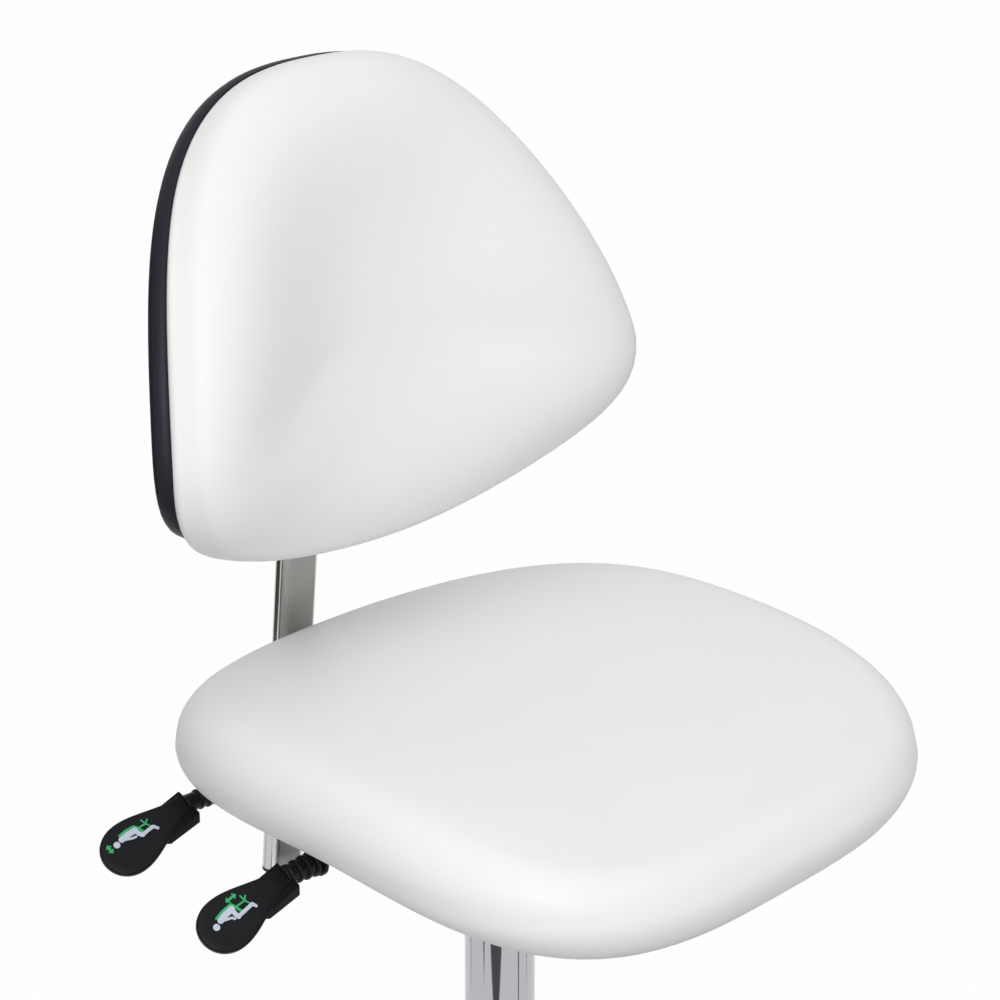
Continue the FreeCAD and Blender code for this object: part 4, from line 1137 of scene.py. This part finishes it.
def pictogram_pieces(lever):
    place = paddle_frame(lever)
    for name, (points, faces), slot in (("sitter", sitter_mesh(lever), "grey_print"),
                                        ("chair", chair_mesh(lever), "green_print")):
        placed = [place @ point for point in points]
        piece = mesh_object(f"{lever}_{name}_print", placed, faces, slot, smooth=False)
        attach(piece, lever + "_lever")


# Boots. Their radii are those of the first and the last rib and of the flange.

boot_radii = {"lift": (0.0074, 0.0090, 0.0100), "lock": (0.0072, 0.0082, 0.0090)}
boot_rib_starts = {"lift": 0.0042, "lock": 0.0125}
ribs_left_out = {"lift": 0, "lock": 1}
boot_length = 0.032
boot_bore = 0.0044
boot_round = 0.0004
boot_sharp_angle = math.radians(38)
last_rib_inset = 0.0068
rib_share = 0.22
rib_steps = 48
rib_section_steps = 14


def ring_tree(count, first_radius, last_radius, start_x, end_x, y, material):
    """A row of soft rings along X whose radius grows from the first to the last."""
    tree = bpy.data.node_groups.new("boot_ribs", "GeometryNodeTree")
    face = tree.interface
    face.new_socket("Geometry", in_out="INPUT", socket_type="NodeSocketGeometry")
    names = ("Count", "First radius", "Last radius", "Start", "End", "Side")
    kinds = ("NodeSocketInt",) + ("NodeSocketFloat",) * 5
    sockets = [face.new_socket(name, in_out="INPUT", socket_type=kind) for name, kind in zip(names, kinds)]
    face.new_socket("Geometry", in_out="OUTPUT", socket_type="NodeSocketGeometry")
    add = tree.nodes.new
    link = tree.links.new
    given = add("NodeGroupInput").outputs
    result = add("NodeGroupOutput")

    def point(x_socket):
        node = add("ShaderNodeCombineXYZ")
        link(x_socket, node.inputs["X"])
        link(given["Side"], node.inputs["Y"])
        node.inputs["Z"].default_value = rod_height
        return node.outputs[0]

    def circle(steps, radius):
        node = add("GeometryNodeCurvePrimitiveCircle")
        node.inputs["Resolution"].default_value = steps
        node.inputs["Radius"].default_value = radius
        return node.outputs["Curve"]

    line = add("GeometryNodeMeshLine")
    line.mode = "END_POINTS"
    link(given["Count"], line.inputs["Count"])
    link(point(given["Start"]), line.inputs["Start Location"])
    link(point(given["End"]), line.inputs["Offset"])
    ring = add("GeometryNodeCurveToMesh")
    link(circle(rib_steps, 1 - rib_share), ring.inputs["Curve"])
    link(circle(rib_section_steps, rib_share), ring.inputs["Profile Curve"])
    number = add("GeometryNodeInputIndex")
    growth = add("ShaderNodeMapRange")
    less = add("ShaderNodeMath")
    less.operation = "SUBTRACT"
    link(given["Count"], less.inputs[0])
    less.inputs[1].default_value = 1.0
    link(number.outputs[0], growth.inputs["Value"])
    link(less.outputs[0], growth.inputs["From Max"])
    link(given["First radius"], growth.inputs["To Min"])
    link(given["Last radius"], growth.inputs["To Max"])
    spread = add("GeometryNodeInstanceOnPoints")
    link(line.outputs[0], spread.inputs["Points"])
    link(ring.outputs[0], spread.inputs["Instance"])
    spread.inputs["Rotation"].default_value = (0.0, math.pi / 2, 0.0)
    link(growth.outputs[0], spread.inputs["Scale"])
    real = add("GeometryNodeRealizeInstances")
    coat = add("GeometryNodeSetMaterial")
    coat.inputs["Material"].default_value = material
    link(spread.outputs[0], real.inputs[0])
    link(real.outputs[0], coat.inputs["Geometry"])
    link(coat.outputs[0], result.inputs[0])
    values = (count, first_radius, last_radius, start_x, end_x, y)
    return tree, dict(zip((socket.identifier for socket in sockets), values))


def boot_ribs(lever):
    """The boot's ribs, as one mesh."""
    neck_x, y = rod_ends[lever]
    first, last, _ = boot_radii[lever]
    ribs = settings("lever").ribs - ribs_left_out[lever]
    first_x = neck_x + boot_rib_starts[lever]
    last_x = neck_x + boot_length - last_rib_inset
    tree, values = ring_tree(ribs, first, last, first_x, last_x, y, finish("black_rubber"))
    mesh = bpy.data.meshes.new("ribs")
    mesh.from_pydata([(neck_x, y, rod_height)], [], [])
    holder = scene_object(lever + "_boot_ribs", mesh)
    modifier = holder.modifiers.new("ribs", "NODES")
    modifier.node_group = tree
    for identifier, value in values.items():
        modifier[identifier] = value
    apply_modifiers(holder)
    bpy.data.meshes.remove(mesh)
    face_outwards(holder)
    holder.data.polygons.foreach_set("use_smooth", [True] * len(holder.data.polygons))
    return holder


def boot_sleeve(lever):
    """The boot's tapered sleeve with the flange at its inner end."""
    first, last, flange = boot_radii[lever]
    neck_x, y = rod_ends[lever]
    step = boot_round
    profile = [
        (0.0, boot_bore), (0.0, first - 3 * step), (1.5 * step, first - 1.5 * step),
        (boot_rib_starts[lever], first - 3 * step), (boot_length - 9 * step, last - 5 * step),
        (boot_length - 8.5 * step, flange - 1.5 * step), (boot_length - 7 * step, flange),
        (boot_length - 2 * step, flange), (boot_length, flange - 2 * step), (boot_length, boot_bore),
    ]
    return turned_along_x(lever + "_boot_sleeve", (neck_x, y, rod_height), profile, "black_rubber")


def boot_piece(lever):
    holder = boot_ribs(lever)
    sleeve = boot_sleeve(lever)
    body = lever + "_lever"
    for piece in (holder, sleeve):
        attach(piece, body)
    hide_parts(body + "_boot")


def turned_along_x(name, origin, profile, slot, count=48):
    """A ring-shaped body turned about an X axis through the origin. The profile is closed."""
    points, faces = [], []
    for step in range(count):
        turn = 2 * math.pi * step / count
        for along, radius in profile:
            points.append(Vector(origin) + Vector((along, radius * math.cos(turn), radius * math.sin(turn))))
    size = len(profile)
    for step in range(count):
        after = (step + 1) % count
        for index in range(size):
            nxt = (index + 1) % size
            faces.append((step * size + index, step * size + nxt, after * size + nxt, after * size + index))
    piece = mesh_object(name, points, faces, slot)
    piece.data.set_sharp_from_angle(angle=boot_sharp_angle)
    return piece


# Stage

def seen_directly(tree, share):
    """A socket that holds the share for camera, glossy and transmission rays, and zero for the others."""
    path = tree.nodes.new("ShaderNodeLightPath")
    total = path.outputs["Is Camera Ray"]
    for name in ("Is Glossy Ray", "Is Transmission Ray"):
        add = tree.nodes.new("ShaderNodeMath")
        add.operation = "ADD"
        add.use_clamp = True
        tree.links.new(total, add.inputs[0])
        tree.links.new(path.outputs[name], add.inputs[1])
        total = add.outputs[0]
    scaled = tree.nodes.new("ShaderNodeMath")
    scaled.operation = "MULTIPLY"
    scaled.inputs[1].default_value = share
    tree.links.new(total, scaled.inputs[0])
    return scaled.outputs[0]


def show_directly(tree, share, lighting, seen, surface):
    """Feeds the surface with one shader for what lights the object and with another for what is seen."""
    mix = tree.nodes.new("ShaderNodeMixShader")
    tree.links.new(seen_directly(tree, share), mix.inputs[0])
    tree.links.new(lighting.outputs[0], mix.inputs[1])
    tree.links.new(seen.outputs[0], mix.inputs[2])
    tree.links.new(mix.outputs[0], surface)


def floor_finish():
    material, shader = plain_material("studio_floor", settings("colours").floor, 0.8)
    tree = material.node_tree
    output = next(node for node in tree.nodes if node.type == "OUTPUT_MATERIAL")
    glow = tree.nodes.new("ShaderNodeEmission")
    glow.inputs["Color"].default_value = white
    show_directly(tree, floor_glow_share, shader, glow, output.inputs["Surface"])
    return material


def stage_object(name, corners, material):
    """A flat sheet of the stage through its corners."""
    mesh = bpy.data.meshes.new(name)
    mesh.from_pydata(corners, [], [tuple(range(len(corners)))])
    mesh.materials.append(material)
    item = scene_object(name, mesh)
    return item


def floor_piece():
    half = floor_half_width
    corners = [(-half, -half, 0), (half, -half, 0), (half, half, 0), (-half, half, 0)]
    stage_object("floor", corners, floor_finish())


def fan_corners(turn, near, near_half, far_half):
    """Corners of a floor card that starts straight and ends in an arc round the object."""
    ends = [(near, -near_half), (near, near_half)]
    ends += [(card_far_end, far_half * (1 - 2 * step / fan_steps)) for step in range(fan_steps + 1)]
    corners = []
    for distance, half in ends:
        angle = math.radians(view_azimuth + turn + half)
        corners.append((distance * math.sin(angle), -distance * math.cos(angle), card_height))
    return corners


def studio_cards():
    """Cards that only reflections show: one upright beside the bar, the others flat on the floor."""
    dark = plain_material("studio_card", dark_card_colour, card_roughness)[0]
    grey = plain_material("studio_grey_card", grey_card_colour, card_roughness)[0]
    upright = [(x, y, 0.0) for x, y in side_card_ends]
    upright += [(x, y, side_card_height) for x, y in reversed(side_card_ends)]
    cards = [stage_object("side_card", upright, dark)]
    cards.append(stage_object("bar_card", [(x, y, card_height) for x, y in bar_card_corners], dark))
    cards.append(stage_object("bar_grey_card", [(x, y, card_height) for x, y in grey_card_corners], grey))
    for index, card in enumerate(floor_cards):
        cards.append(stage_object(f"floor_card_{index}", fan_corners(*card), dark))
    for card in cards:
        card.visible_camera = False
        card.visible_diffuse = False
        card.visible_shadow = False


def softbox(name, place, aim, width, power):
    data = bpy.data.lights.new(name, "AREA")
    data.shape = "RECTANGLE"
    data.size = width
    data.size_y = width
    data.energy = power
    lamp = scene_object(name, data)
    lamp.location = place
    lamp.rotation_euler = (Vector(aim) - Vector(place)).to_track_quat("-Z", "Y").to_euler()


def studio_light():
    scene = bpy.context.scene
    world = bpy.data.worlds.new("studio")
    scene.world = world
    world.use_nodes = True
    tree = world.node_tree
    fill = next(node for node in tree.nodes if node.type == "BACKGROUND")
    output = next(node for node in tree.nodes if node.type == "OUTPUT_WORLD")
    fill.inputs["Color"].default_value = white
    fill.inputs["Strength"].default_value = fill_strength
    backdrop = tree.nodes.new("ShaderNodeBackground")
    backdrop.inputs["Color"].default_value = white
    show_directly(tree, 1.0, fill, backdrop, output.inputs["Surface"])
    for lamp in lamps:
        softbox(*lamp)
    scene.view_settings.view_transform = "Standard"


def studio_camera():
    data = bpy.data.cameras.new("camera")
    data.lens = camera_lens
    data.sensor_width = camera_sensor
    camera = scene_object("camera", data)
    azimuth = math.radians(view_azimuth)
    elevation = math.radians(view_elevation)
    towards = Vector((math.sin(azimuth) * math.cos(elevation), -math.cos(azimuth) * math.cos(elevation),
                      math.sin(elevation)))
    camera.location = Vector(camera_aim) + towards * camera_distance
    camera.rotation_euler = towards.to_track_quat("Z", "Y").to_euler()
    bpy.context.scene.camera = camera


# Operators

class OBJECT_OT_stool_seat_cushion(bpy.types.Operator):
    """Make the seat cushion with its rolled edge"""
    bl_idname = "object.stool_seat_cushion"
    bl_label = "Seat cushion"

    def execute(self, context):
        seat_cushion_piece()
        return {"FINISHED"}


class OBJECT_OT_stool_back(bpy.types.Operator):
    """Make the back cushion with the board and the shell behind it"""
    bl_idname = "object.stool_back"
    bl_label = "Backrest"

    def execute(self, context):
        back_cushion_piece()
        back_board_piece()
        back_shell_piece()
        return {"FINISHED"}


class OBJECT_OT_stool_levers(bpy.types.Operator):
    """Make the two paddles with their pictograms and boots"""
    bl_idname = "object.stool_levers"
    bl_label = "Levers"

    def execute(self, context):
        for lever in rod_ends:
            paddle_piece(lever)
            pictogram_pieces(lever)
            boot_piece(lever)
        return {"FINISHED"}


class OBJECT_OT_stool_finishes(bpy.types.Operator):
    """Give every node of the frame its finish"""
    bl_idname = "object.stool_finishes"
    bl_label = "Finishes"

    def execute(self, context):
        for part in frame["record"]["subparts"]:
            node = frame["nodes"][part["node"]]
            node.data.materials.clear()
            node.data.materials.append(finish(part["material_slot"]))
        return {"FINISHED"}


class OBJECT_OT_stool_stage(bpy.types.Operator):
    """Set up the floor, the cards, the lights and the camera"""
    bl_idname = "object.stool_stage"
    bl_label = "Stage"

    def execute(self, context):
        floor_piece()
        studio_cards()
        studio_light()
        studio_camera()
        return {"FINISHED"}


class VIEW3D_PT_stool(bpy.types.Panel):
    """Sizes, colours and pieces of the stool"""
    bl_idname = "VIEW3D_PT_stool"
    bl_label = "Salon stool"
    bl_space_type = "VIEW_3D"
    bl_region_type = "UI"
    bl_category = "Stool"

    def draw(self, context):
        layout = self.layout
        for name, group in groups.items():
            box = layout.box()
            for setting in group.__annotations__:
                box.prop(getattr(context.scene, name), setting)
        for operator in operators:
            layout.operator(operator.bl_idname)


operators = (
    OBJECT_OT_stool_stage,
    OBJECT_OT_stool_finishes,
    OBJECT_OT_stool_seat_cushion,
    OBJECT_OT_stool_back,
    OBJECT_OT_stool_levers,
)
groups = {
    "stool_seat": StoolSeatSizes,
    "stool_back": StoolBackSizes,
    "stool_lever": StoolLeverSizes,
    "stool_colours": StoolColours,
}


def register():
    for name, group in groups.items():
        bpy.utils.register_class(group)
        setattr(bpy.types.Scene, name, PointerProperty(type=group))
    for operator in operators:
        bpy.utils.register_class(operator)
    bpy.utils.register_class(VIEW3D_PT_stool)


def unregister():
    bpy.utils.unregister_class(VIEW3D_PT_stool)
    for operator in reversed(operators):
        bpy.utils.unregister_class(operator)
    for name, group in groups.items():
        delattr(bpy.types.Scene, name)
        bpy.utils.unregister_class(group)


def main():
    register()
    bpy.ops.object.stool_stage()
    bpy.ops.object.stool_finishes()
    bpy.ops.object.stool_seat_cushion()
    bpy.ops.object.stool_back()
    bpy.ops.object.stool_levers()


if __name__ == "__main__":
    main()
